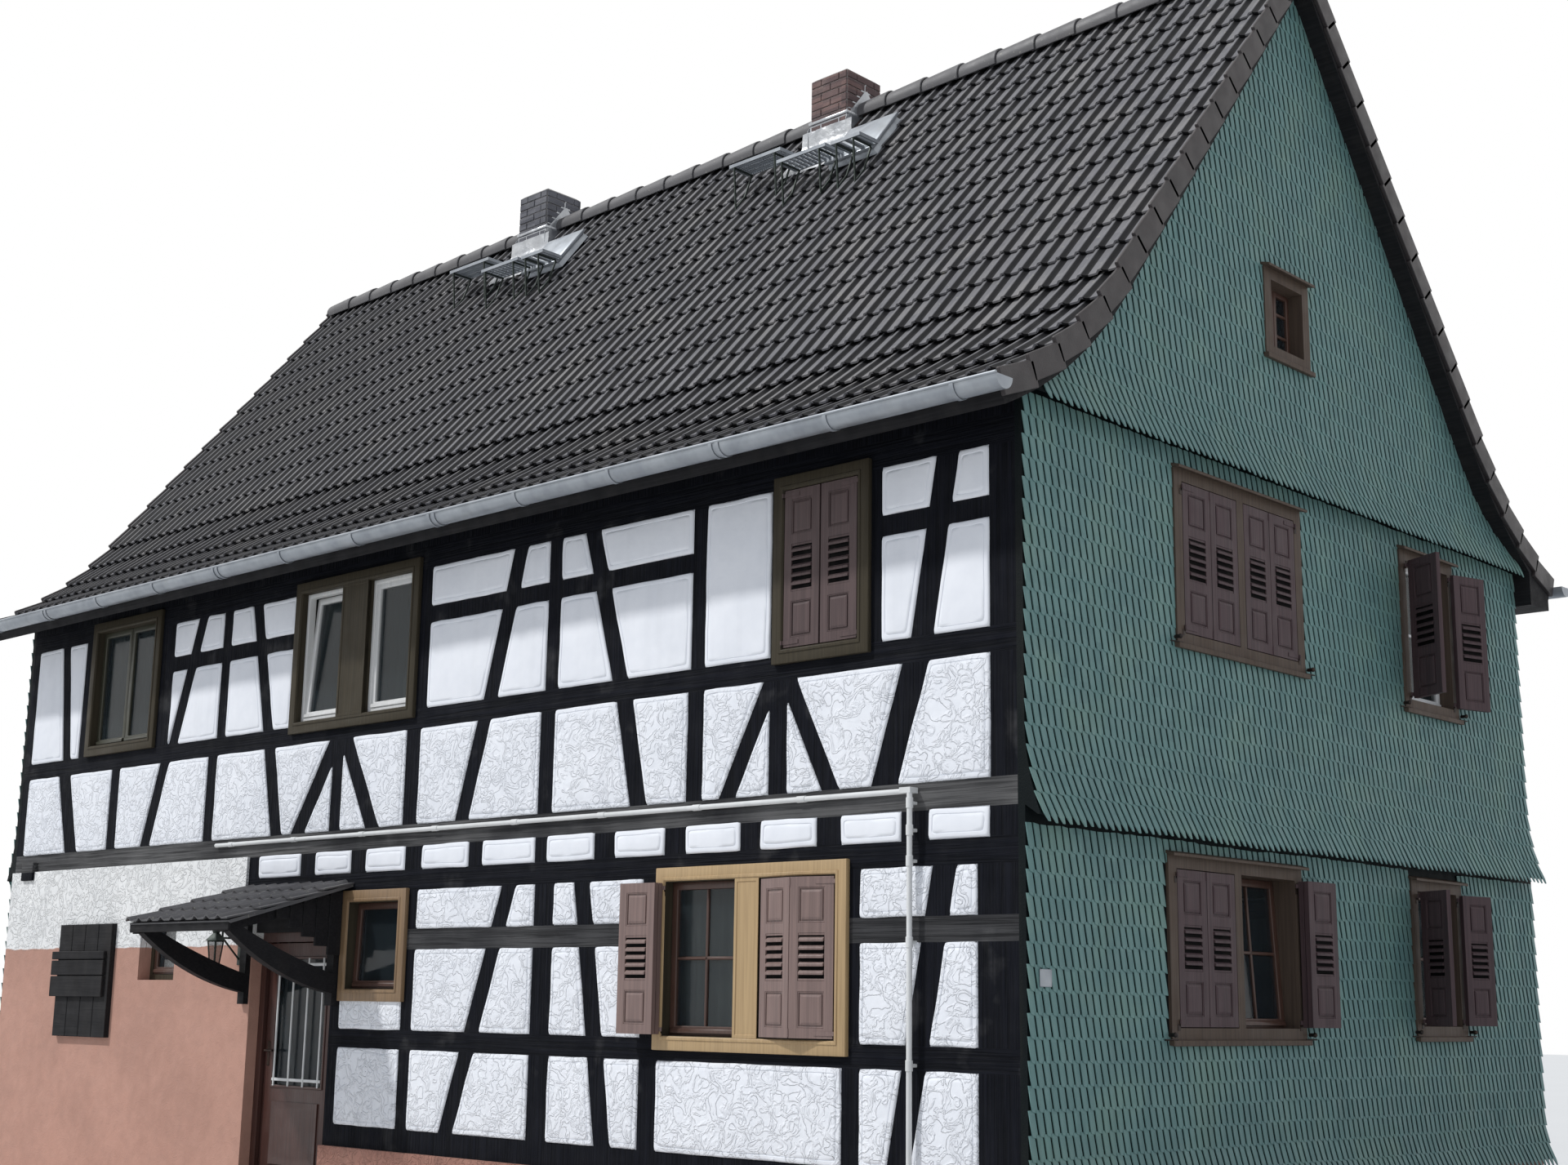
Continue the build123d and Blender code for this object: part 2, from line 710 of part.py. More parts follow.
# Rear wall
lower_sill, lower_head = low_rail_bottom + low_rail_height, joist_band_bottom - rear_head_drop
upper_sill, upper_head = breast_rail_bottom + breast_rail_height, wall_plate_bottom - rear_soffit_rise
lower_frame, lower_infill, lower_windows = rear_storey(plinth_height, joist_band_top, lower_sill, lower_head)
plate_top = wall_plate_bottom + upper_sill_height
top_frame, top_infill, top_windows = rear_storey(joist_band_top, plate_top, upper_sill, upper_head)
over_plate = block(-house_length, 0, 0, wall_thickness, plate_top, ridge_height)
over_plate &= under_roof(-house_length - 10, 10, 0)
nodes["rear_frame"] = to_rear(lower_frame + top_frame + over_plate)
nodes["rear_infill"] = together([to_rear(lower_infill), to_rear(top_infill)])

# Gable walls and their cladding
lower_holes = [gable_windows["lower_pair"], gable_windows["lower_single"]]
upper_holes = [gable_windows["upper_pair"], gable_windows["upper_single"]]
attic_bottom = attic_tier_bottom + tier_joint_rise
attic_wall = block(-wall_thickness, 0, wall_thickness, inner_rear, attic_floor_top, ridge_height)
attic_wall &= under_roof(-200, 10, 0)
attic_wall -= block(-400, 400, attic_window[0], attic_window[1], attic_window[2], attic_window[3])
walls = {
    "ground": gable_plate(plinth_height, joist_band_top, lower_holes),
    "upper": gable_plate(joist_band_top, attic_floor_top, upper_holes),
    "attic": attic_wall,
}
ground_top = upper_tier_bottom + tier_joint_rise
space = under_roof(-10, 400, 0)
skins = {
    "ground": cladding(ground_tier_bottom, ground_top, ground_skirt_reach, ground_skirt_rise, lower_holes),
    "upper": cladding(upper_tier_bottom, attic_bottom, skirt_reach, skirt_rise, upper_holes) & space,
    "attic": cladding(attic_tier_bottom, ridge_height, skirt_reach, skirt_rise, [attic_window]) & space,
}
for storey in walls:
    nodes[f"gable_walls_{storey}"] = together([walls[storey], to_left(walls[storey]) - masonry])
    nodes[f"gable_shingles_{storey}"] = together([skins[storey], to_left(skins[storey])])

# Roof slopes, boarding, verges and ridge
roof_x0, roof_x1 = -house_length - verge_overhang, verge_overhang
stacks = [chimney_hole(chimney_left_x), chimney_hole(chimney_right_x)]
flap = verge_flap_thickness
slot_y0, slot_y1 = centre_y - ridge_gap / 2, centre_y + ridge_gap / 2
ridge_slot = block(roof_x0 - 10, roof_x1 + 10, slot_y0, slot_y1, foot_z, ridge_height + 100)
tiles = slope_layer(0, tile_depth, roof_x0 + flap, roof_x1 - flap) - ridge_slot
deck = slope_layer(tile_depth, tile_depth + deck_depth, roof_x0 + flap, roof_x1 - flap) - ridge_slot
nodes["roof_tiles_front"] = tiles - stacks
nodes["roof_tiles_rear"] = to_rear(tiles) - stacks
nodes["roof_boarding"] = together([deck - stacks, to_rear(deck) - stacks])
verge = slope_layer(0, verge_flap_depth, roof_x1 - flap, roof_x1) - ridge_slot
verges = [verge, to_rear(verge)]
nodes["verge_tiles"] = together(verges + [to_left(shape) for shape in verges])
cap_place = Pos(-house_length / 2, centre_y, ridge_height - 60) * Rot(0, 90, 0)
cap = cap_place * Cylinder(ridge_tile_radius, roof_x1 - roof_x0)
under_tiles = slope_layer(0, 2 * ridge_tile_radius, roof_x0 - 50, roof_x1 + 50)
collar_space = [chimney_hole(chimney_left_x, flashing_wall), chimney_hole(chimney_right_x, flashing_wall)]
nodes["ridge_tiles"] = cap - under_tiles - to_rear(under_tiles) - collar_space

# Rear eaves box and gutters
depth = tile_depth + deck_depth
eaves_end = slope_point(depth, foot)
soffit = wall_plate_bottom + rear_soffit_rise
box_body = block(roof_x0 + flap, roof_x1 - flap, eaves_end[0], 0, soffit, ridge_height)
box_body &= under_roof(roof_x0, roof_x1, 0)
nodes["rear_eaves_box"] = to_rear(box_body)
lip = slope_point(0, foot)
gutter_y, gutter_z = lip[0] - gutter_radius + 20, lip[1] - 45
gutter_x0, gutter_x1 = roof_x0 - gutter_run_past, roof_x1 + gutter_run_past
gutter = half_round(gutter_radius, gutter_wall, gutter_x0, gutter_x1, gutter_y, gutter_z)
nodes["gutters"] = together([gutter, to_rear(gutter)])

# Chimneys with their collars
nodes["chimneys"] = together([chimney(chimney_left_x), chimney(chimney_right_x)])
collars = []
for x in (chimney_left_x, chimney_right_x):
    wrap = slope_layer(-flashing_height, 0, x - chimney_width / 2 - 60, x + chimney_width / 2 + 60)
    wrap = wrap + to_rear(wrap)
    band = chimney_hole(x, flashing_wall) & wrap
    collars.append(band - chimney_hole(x))
nodes["chimney_collars"] = together(collars)

# Roof hatches and walkways on the street slope
hatches, walkways = [], []
hatch_foot_y = centre_y - hatch_below_ridge
hatch_run = hatch_length * math.cos(pitch)
for start in walkway_starts:
    x0 = start + hatch_offset
    hatches.append(slope_box(x0, x0 + hatch_width, hatch_foot_y, hatch_foot_y + hatch_run, 0, hatch_raise))
    for offset, length, below_ridge in walkway_sections:
        rear = centre_y - below_ridge
        x0, x1, y0 = start + offset, start + offset + length, rear - walkway_depth
        z = slope_height(rear) + walkway_raise
        plate = block(x0, x1, y0, rear, z, z + walkway_thickness)
        side = [(y0, z), (rear, z), (rear, slope_height(rear)), (y0, slope_height(y0))]
        for leg in (x0 + walkway_leg_inset, x1 - walkway_leg_inset - walkway_leg):
            plate += prism_x(side, leg, leg + walkway_leg)
        walkways.append(plate)
nodes["roof_hatches"] = together(hatches)
nodes["roof_walkways"] = together(walkways)

# Windows
sashes, panes = [], []
frames = []
front_plan = [("left", upper_windows["left"], 0, 2), ("middle", upper_windows["middle"], middle_mullion, 1),
              ("right", upper_windows["right"], 0, 2), ("ground", ground_window, ground_mullion, 1),
              ("side", door_side_window, 0, 1)]
front_lights = {}
for name, window, mullion, leaves in front_plan:
    ring, lights = casing(window, frame_lap, mullion)
    frames.append(ring)
    front_lights[name] = lights
    for light in lights:
        rings, glass = sash(light, sash_setback, leaves)
        sashes += rings
        panes += glass
nx0, nx1, nz0, nz1 = niche_window
frames.append(block(nx0, nx1, 90, 150, nz0, nz1) - block(nx0 + 50, nx1 - 50, 0, 400, nz0 + 50, nz1 - 50))
rings, glass = sash((nx0 + 50, nx1 - 50, nz0 + 50, nz1 - 50), 95, 1)
sashes += rings
panes += glass
nodes["front_window_frames"] = together(frames)

frames = []
gable_lights = {}
for name, window in list(gable_windows.items()) + [("attic", attic_window)]:
    ring, lights = gable_frame(window, pair_mullion if "pair" in name else 0)
    frames += [ring, to_left(ring)]
    gable_lights[name] = lights
    for light in lights:
        rings, glass = gable_sash(light)
        sashes += rings + [to_left(shape) for shape in rings]
        panes += glass + [to_left(shape) for shape in glass]
nodes["gable_window_frames"] = together(frames)

frames = []
for window in lower_windows + top_windows:
    ring, lights = casing(window, rear_frame_lap)
    frames.append(to_rear(ring))
    rings, glass = sash(lights[0], sash_setback, 2)
    sashes += [to_rear(shape) for shape in rings]
    panes += [to_rear(shape) for shape in glass]
nodes["rear_window_frames"] = together(frames)
nodes["window_sashes"] = together(sashes)
nodes["window_glass"] = together(panes)

# Shutters that swing on their own hinges, at the angles they stand open
pintles = []
for name, light, angles, on_gable in (
    ("street_shutter", front_lights["right"][0], (0, 0), False),
    ("upper_shutter", gable_lights["upper_single"][0], (left_leaf_angle, right_leaf_angle), True),
    ("lower_shutter", gable_lights["lower_single"][0], (left_leaf_angle, right_leaf_angle), True),
):
    width, height = leaf_size(light, shutter_meeting_gap)
    for side, angle, on_left in (("left", angles[0], True), ("right", angles[1], False)):
        turned = Rot(0, 0, angle) * hung_leaf(width, height)
        nodes[f"{name}_{side}"] = at_hinge(light, turned, on_gable, on_left)
        pintles += pintles_of(light, height, on_gable, on_left)

# Folding shutters, which stay as they are
folding = {True: [], False: []}
for light, on_gable, on_left, fold in (
    (gable_lights["upper_pair"][0], True, True, 0),
    (gable_lights["upper_pair"][1], True, False, 0),
    (gable_lights["lower_pair"][0], True, True, 0),
    (gable_lights["lower_pair"][1], True, False, None),
    (front_lights["ground"][0], False, True, None),
    (front_lights["ground"][1], False, False, street_fold_angle),
):
    width, height = leaf_size(light, shutter_gap)
    if fold is None:
        pair = Rot(0, 0, folded_back_angle) * folded_pair(width, height)
    else:
        pair = folding_pair(width, height, fold)
    folding[on_gable].append(at_hinge(light, pair, on_gable, on_left))
    pintles += pintles_of(light, height, on_gable, on_left, False)
nodes["gable_folding_shutters"] = together(folding[True])
nodes["street_folding_shutters"] = together(folding[False])

# Door
door_frame = block(door_left, door_right, door_frame_front, door_frame_back, ground_floor_top, door_head)
door_hole_x0, door_hole_x1 = door_left + door_jamb, door_right - door_jamb
door_frame -= block(door_hole_x0, door_hole_x1, 0, 400, ground_floor_top - 10, door_head - door_jamb)
nodes["door_frame"] = door_frame
leaf_x0, leaf_x1 = door_hole_x0 + door_gap, door_hole_x1 - door_gap
leaf_z0, leaf_z1 = ground_floor_top + door_gap, door_head - door_jamb - door_gap
door = block(leaf_x0, leaf_x1, door_frame_back - door_leaf_thickness, door_frame_back, leaf_z0, leaf_z1)
door_hinge_x, door_hinge_y = leaf_x1 + leaf_edge, door_frame_back + shutter_hinge_reach
for height in (leaf_z0 + 250, leaf_z1 - 250):
    spot = Pos(door_hinge_x, door_hinge_y, 0)
    swap = Plane(origin=(door_hinge_x, 0, 0), z_dir=(1, 0, 0))
    door += mirror(spot * strap(height), about=swap)
    pintles.append(mirror(spot * pintle(height), about=swap))
nodes["door_leaf"] = door
nodes["hinge_pintles"] = together(pintles)

# Canopy
slope_rise = canopy_wall_height - canopy_edge_height
deck_outline = [
    (0, canopy_wall_height),
    (-canopy_reach, canopy_edge_height),
    (-canopy_reach, canopy_edge_height - canopy_tile_depth),
    (0, canopy_wall_height - canopy_tile_depth),
]
nodes["canopy_tiles"] = prism_x(deck_outline, canopy_left, canopy_right) - masonry
arms = []
under_wall = canopy_wall_height - canopy_tile_depth
under_edge = canopy_edge_height - canopy_tile_depth
for x in (canopy_left + 20, canopy_right - bracket_inset - canopy_beam):
    outline = [(0, under_wall), (-canopy_reach + 60, under_edge + 60 * slope_rise / canopy_reach),
               (-canopy_reach + 60, under_edge - 60), (0, under_wall - canopy_beam - 40)]
    arm = prism_x(outline, x, x + canopy_beam)
    arm += strut(x)
    arm += block(x, x + canopy_beam, -canopy_post, 0, strut_foot - 80, under_wall - 100)
    arms.append(arm - masonry)
nodes["canopy_brackets"] = together(arms)

# Lantern on its arm, the white pipe and the plank hatch
lantern_top = lantern_bottom + lantern_height
cage = six_sided(lantern_radius * 0.6, lantern_radius, lantern_height)
lamp = Pos(lantern_x, lantern_y, lantern_bottom) * cage
lamp += Pos(lantern_x, lantern_y, lantern_top) * six_sided(lantern_radius + 18, 14, 60)
lamp += block(lantern_x - 10, lantern_x + 10, lantern_y, -masonry_proud, lantern_top + 20, lantern_top + 40)
back = -masonry_proud
lamp += block(lantern_x - 30, lantern_x + 30, back - 12, back, lantern_bottom + 100, lantern_top + 80)
nodes["lantern"] = lamp
level = Pos((pipe_left + pipe_right) / 2, -pipe_radius, pipe_height) * Rot(0, 90, 0)
run = level * Cylinder(pipe_radius, pipe_right - pipe_left)
drop = Pos(pipe_riser_x, -pipe_radius - proud, pipe_height / 2) * Cylinder(pipe_radius, pipe_height)
link = block(pipe_right - pipe_radius, pipe_riser_x + pipe_radius, -2 * pipe_radius - proud, 0,
             pipe_height - pipe_radius, pipe_height + pipe_radius)
nodes["wall_pipe"] = run + drop + link
hx0, hx1, hz0, hz1 = hatch_door
nodes["plank_hatch"] = block(hx0, hx1, -masonry_proud - plank_thickness, -masonry_proud, hz0, hz1)

# Everything is moved so that the origin lies under the middle of the house
whole = Compound(children=[Compound(children=shape.solids()) for shape in nodes.values()]).bounding_box()
shift = Pos(-(whole.min.X + whole.max.X) / 2, -(whole.min.Y + whole.max.Y) / 2, -whole.min.Z)
print("shift", shift.position.X, shift.position.Y, shift.position.Z)

os.makedirs("parts", exist_ok=True)
for name, shape in nodes.items():
    export_step(shift * Compound(children=shape.solids()), f"parts/{name}.step")
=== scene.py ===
"""Looks for the half timbered house: tiles, shingles, plaster, windows, shutters and fittings on the fixed frame.

The working sizes in this file are metres measured from the street corner of the shingled gable, with X along the
street front, Y towards the rear and Z up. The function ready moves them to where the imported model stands.
"""

import itertools
import logging
import math
from collections.abc import Callable, Iterable, Iterator
from contextlib import contextmanager
from dataclasses import dataclass, field
from enum import Enum

import bmesh
import bpy
from mathutils import Matrix, Vector, noise


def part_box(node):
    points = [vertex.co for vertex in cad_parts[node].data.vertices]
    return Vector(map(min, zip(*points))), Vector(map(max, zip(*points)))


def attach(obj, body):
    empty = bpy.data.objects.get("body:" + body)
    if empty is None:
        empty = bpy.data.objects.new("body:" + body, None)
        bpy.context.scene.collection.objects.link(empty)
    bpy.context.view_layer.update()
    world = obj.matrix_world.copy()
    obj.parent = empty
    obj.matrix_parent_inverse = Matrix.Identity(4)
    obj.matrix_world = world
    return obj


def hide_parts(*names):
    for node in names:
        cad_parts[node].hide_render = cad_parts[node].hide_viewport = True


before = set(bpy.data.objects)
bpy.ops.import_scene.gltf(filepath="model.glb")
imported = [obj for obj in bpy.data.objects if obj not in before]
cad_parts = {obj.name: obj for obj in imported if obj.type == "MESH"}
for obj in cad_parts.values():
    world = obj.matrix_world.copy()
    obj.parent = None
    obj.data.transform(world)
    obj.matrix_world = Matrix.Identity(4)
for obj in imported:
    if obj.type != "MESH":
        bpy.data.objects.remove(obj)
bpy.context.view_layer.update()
logging.basicConfig(level=logging.INFO, format="%(message)s")
log = logging.getLogger("house")

Span = tuple[float, float]
Point = tuple[float, float, float]
Colour = tuple[float, float, float]
Piece = bpy.types.Object
Face = bmesh.types.BMFace
FaceTest = Callable[[Face], bool]

X, Y, Z = range(3)
HOUSE_LENGTH = 12.0
# From this share of its normal along an axis, a face counts as square to that axis.
SQUARE = 0.9


def corner() -> Vector:
    """Gives where the street corner of the shingled gable stands, at ground level."""
    low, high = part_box("front_upper_frame")
    return Vector((high.x, low.y, 0.0))


CORNER = corner()


def only(*pieces: Piece) -> None:
    """Selects these pieces and nothing else.

    Args:
        pieces: The pieces to select; the first becomes the active one.
    """
    bpy.ops.object.select_all(action="DESELECT")
    for piece in pieces:
        piece.select_set(True)
    bpy.context.view_layer.objects.active = pieces[0]


def settle(piece: Piece) -> None:
    """Moves a piece's place, turn and scale into its mesh."""
    only(piece)
    bpy.ops.object.transform_apply(location=True, rotation=True, scale=True)


def within(span: Span, margin: float) -> Span:
    """Gives a span with a margin off both ends, or a wider one for a margin below zero."""
    return span[0] + margin, span[1] - margin


def about(middle: float, half: float) -> Span:
    """Gives the span that reaches as far to both sides of a middle."""
    return middle - half, middle + half


def block(name: str, x: Span, y: Span, z: Span) -> Piece:
    """Starts a piece from a cube at its size and place.

    Args:
        name: The piece's name.
        x: Left and right.
        y: Front and rear.
        z: Bottom and top.

    Returns:
        The new piece.
    """
    middle = [(low + high) / 2 for low, high in (x, y, z)]
    bpy.ops.mesh.primitive_cube_add(size=1, location=middle)
    piece = bpy.context.object
    piece.name = name
    piece.scale = [abs(high - low) for low, high in (x, y, z)]
    settle(piece)
    return piece


def rod(name: str, start: Point, end: Point, radius: float, sides: int = 12) -> Piece:
    """Starts a round bar between two points.

    Args:
        name: The piece's name.
        start: One end.
        end: The other end.
        radius: Radius of the bar.
        sides: Number of flats round it.

    Returns:
        The new piece.
    """
    run = Vector(end) - Vector(start)
    bpy.ops.mesh.primitive_cylinder_add(vertices=sides, radius=radius, depth=run.length,
                                        location=(Vector(start) + Vector(end)) / 2)
    piece = bpy.context.object
    piece.name = name
    piece.rotation_mode = "QUATERNION"
    piece.rotation_quaternion = run.to_track_quat("Z", "Y")
    settle(piece)
    return piece


@contextmanager
def editing(piece: Piece, kind: str = "FACE") -> Iterator[None]:
    """Holds a piece in edit mode with nothing selected.

    Args:
        piece: The piece to edit.
        kind: VERT, EDGE or FACE, as what is selected.

    Returns:
        A context that leaves edit mode at its end.
    """
    only(piece)
    bpy.ops.object.mode_set(mode="EDIT")
    bpy.ops.mesh.select_mode(type=kind)
    bpy.ops.mesh.select_all(action="DESELECT")
    try:
        yield
    finally:
        bpy.ops.object.mode_set(mode="OBJECT")


def pick(piece: Piece, test: FaceTest) -> None:
    """Selects the faces of a piece in edit mode that pass a test.

    Args:
        piece: The piece, in edit mode.
        test: Says whether a face is wanted.
    """
    mesh = bmesh.from_edit_mesh(piece.data)
    for face in mesh.faces:
        face.select_set(False)
    for face in filter(test, mesh.faces):
        face.select_set(True)
    bmesh.update_edit_mesh(piece.data)


def facing(axis: int, sign: float) -> FaceTest:
    """Makes a test for faces that look along an axis."""
    return lambda face: face.normal[axis] * sign > SQUARE


def ends(axis: int) -> FaceTest:
    """Makes a test for faces that look either way along an axis."""
    return lambda face: abs(face.normal[axis]) > SQUARE


def extrude(*move: float) -> None:
    """Extrudes the selected faces and moves them."""
    bpy.ops.mesh.extrude_region_move(TRANSFORM_OT_translate={"value": move})


def shape(piece: Piece, test: FaceTest, *insets: Span, move: Point = (0, 0, 0), grow: Point = (1, 1, 1)) -> Piece:
    """Insets the faces of a piece that pass a test, then moves and resizes them.

    Args:
        piece: The piece.
        test: Says whether a face is wanted.
        insets: Width and depth of each inset.
        move: How far the faces move.
        grow: How much they grow along each axis.

    Returns:
        The piece.
    """
    with editing(piece):
        pick(piece, test)
        for width, depth in insets:
            bpy.ops.mesh.inset(thickness=width, depth=depth)
        if any(move):
            bpy.ops.transform.translate(value=move)
        if set(grow) != {1}:
            bpy.ops.transform.resize(value=grow)
    return piece


def apply_modifier(piece: Piece, kind: str, **settings: object) -> None:
    """Puts a modifier on a piece and applies it.

    Args:
        piece: The piece.
        kind: The modifier's type.
        settings: Its settings.
    """
    only(piece)
    modifier = piece.modifiers.new(kind.lower(), kind)
    for key, value in settings.items():
        setattr(modifier, key, value)
    bpy.ops.object.modifier_apply(modifier=modifier.name)


def soften(piece: Piece, width: float, segments: int = 1) -> Piece:
    """Rounds the sharp edges of a piece, and gives it back."""
    apply_modifier(piece, "BEVEL", width=width, segments=segments, limit_method="ANGLE", angle_limit=0.6)
    return piece


def repeat(piece: Piece, step: Point, count: int) -> None:
    """Repeats a piece in a row, with this step from one to the next and this count in all."""
    apply_modifier(piece, "ARRAY", count=count, use_relative_offset=False, use_constant_offset=True,
                   constant_offset_displace=step)


def added(name: str, data: bpy.types.ID) -> Piece:
    """Adds an object with this data to the scene.

    Args:
        name: The object's name.
        data: Its mesh, lamp or camera.

    Returns:
        The object.
    """
    piece = bpy.data.objects.new(name, data)
    bpy.context.scene.collection.objects.link(piece)
    return piece


def stretches(free: list[bool]) -> Iterator[tuple[int, int]]:
    """Finds the unbroken stretches of free places in a row.

    Args:
        free: Whether each place is free.

    Yields:
        The first place and the length of each stretch.
    """
    first = 0
    for is_free, places in itertools.groupby(free):
        count = len(list(places))
        if is_free:
            yield first, count
        first += count


def followed(ring: list) -> Iterable[tuple]:
    """Pairs each item of a closed ring with the one after it."""
    return zip(ring, ring[1:] + ring[:1])


def between(ring: list) -> Iterable[tuple]:
    """Gives each item of a closed ring between the ones before and after it."""
    return zip(ring[-1:] + ring[:-1], ring, ring[1:] + ring[:1])


def mirror(axis: int, middle: float) -> Matrix:
    """Gives the mirroring about a plane that stands square to an axis."""
    along = Vector([float(axis == each) for each in (X, Y, Z)])
    return Matrix.Translation(along * 2 * middle) @ Matrix.Scale(-1, 4, along)


def sheet(name: str, columns: int, rows: int, size: Span = (1, 1), middle: Point = (0, 0, 0),
          upright: bool = False) -> Piece:
    """Starts a flat sheet in a grid of faces.

    Args:
        name: The piece's name.
        columns: Number of faces along its width.
        rows: Number of faces along its length.
        size: Its width and length.
        middle: Where its middle is.
        upright: Whether it stands up along X instead of lying flat.

    Returns:
        The sheet.
    """
    bpy.ops.mesh.primitive_grid_add(x_subdivisions=columns, y_subdivisions=rows, size=1, location=middle)
    piece = bpy.context.object
    piece.name = name
    piece.scale = (*size, 1)
    piece.rotation_euler = (math.pi / 2 if upright else 0, 0, 0)
    settle(piece)
    return piece


def half_pipe(name: str, sides: int, radius: float, depth: float, unwanted: FaceTest) -> Piece:
    """Starts an open half-round shell along X.

    Args:
        name: The piece's name.
        sides: Number of flats of the whole round.
        radius: Its radius.
        depth: Its length.
        unwanted: Says whether a face of the whole round goes.

    Returns:
        The shell, without a thickness.
    """
    bpy.ops.mesh.primitive_cylinder_add(vertices=sides, radius=radius, depth=depth, end_fill_type="NOTHING",
                                        rotation=(0, math.pi / 2, 0))
    piece = bpy.context.object
    piece.name = name
    settle(piece)
    with editing(piece):
        pick(piece, unwanted)
        bpy.ops.mesh.delete(type="FACE")
    return piece


def copied(piece: Piece, move: Matrix, name: str = "") -> Piece:
    """Copies a piece with a mesh of its own and moves the copy.

    Args:
        piece: The piece to copy.
        move: Where the copy goes.
        name: The copy's name, or nothing for the piece's own with a number.

    Returns:
        The copy, with its place in its mesh.
    """
    copy = added(name or piece.name, piece.data.copy())
    copy.data.transform(move)
    if move.determinant() < 0:
        copy.data.flip_normals()
    return copy


def joined(name: str, pieces: Iterable[Piece]) -> Piece:
    """Joins pieces to one.

    Args:
        name: The name of the whole.
        pieces: The pieces, at least one.

    Returns:
        The joined piece.
    """
    every = list(pieces)
    only(*every)
    if len(every) > 1:
        bpy.ops.object.join()
    every[0].name = name
    return every[0]


def discard(*pieces: Piece) -> None:
    """Removes pieces that only served as patterns."""
    for piece in pieces:
        bpy.data.objects.remove(piece)


def holed(name: str, x: Span, y: Span, z: Span, bar: float, axis: int = Y, foot: float = 0.0) -> Piece:
    """Makes a frame of bars round a hole from a cube.

    Args:
        name: The piece's name.
        x: Left and right.
        y: Front and rear.
        z: Bottom and top.
        bar: Width of the bars.
        axis: The axis along which the hole goes through.
        foot: How much wider the bar at the foot is.

    Returns:
        The frame.
    """
    piece = block(name, x, y, z)
    with editing(piece):
        pick(piece, ends(axis))
        bpy.ops.mesh.inset(thickness=bar, use_individual=True)
        if foot:
            middle = (z[0] + z[1]) / 2
            mesh = bmesh.from_edit_mesh(piece.data)
            low = [v for v in mesh.verts if z[0] + 1e-4 < v.co.z < middle]
            for vert in low:
                vert.co.z += foot
            bmesh.update_edit_mesh(piece.data)
        bpy.ops.mesh.bridge_edge_loops()
    return piece


def ready(piece: Piece, finish: "Finish", body: str = "house", stands_for: Iterable[str] = (),
          smooth: float = 0.0) -> Piece:
    """Gives a finished piece its material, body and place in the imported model's frame.

    Args:
        piece: The piece, in working metres.
        finish: Its finish.
        body: The body that it moves with.
        stands_for: The nodes that it replaces.
        smooth: The angle in degrees under which edges are shaded smooth, or 0 for flat shading.

    Returns:
        The piece.
    """
    piece.data.transform(Matrix.Translation(CORNER))
    piece.data.materials.clear()
    piece.data.materials.append(finish.material())
    if smooth:
        only(piece)
        bpy.ops.object.shade_smooth_by_angle(angle=math.radians(smooth))
    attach(piece, body)
    if stands_for:
        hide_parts(*stands_for)
    log.info("%s: %d faces, %s", piece.name, len(piece.data.polygons), body)
    return piece


def linear(value: int) -> float:
    """Turns one channel of a screen colour, from 0 to 255, into a linear one."""
    return value / 255 / 12.92 if value / 255 <= 0.04045 else ((value / 255 + 0.055) / 1.055) ** 2.4


def srgb(red: int, green: int, blue: int) -> Colour:
    """Turns a screen colour of 0 to 255 into the linear colour that a shader takes."""
    return linear(red), linear(green), linear(blue)


Socket = bpy.types.NodeSocket


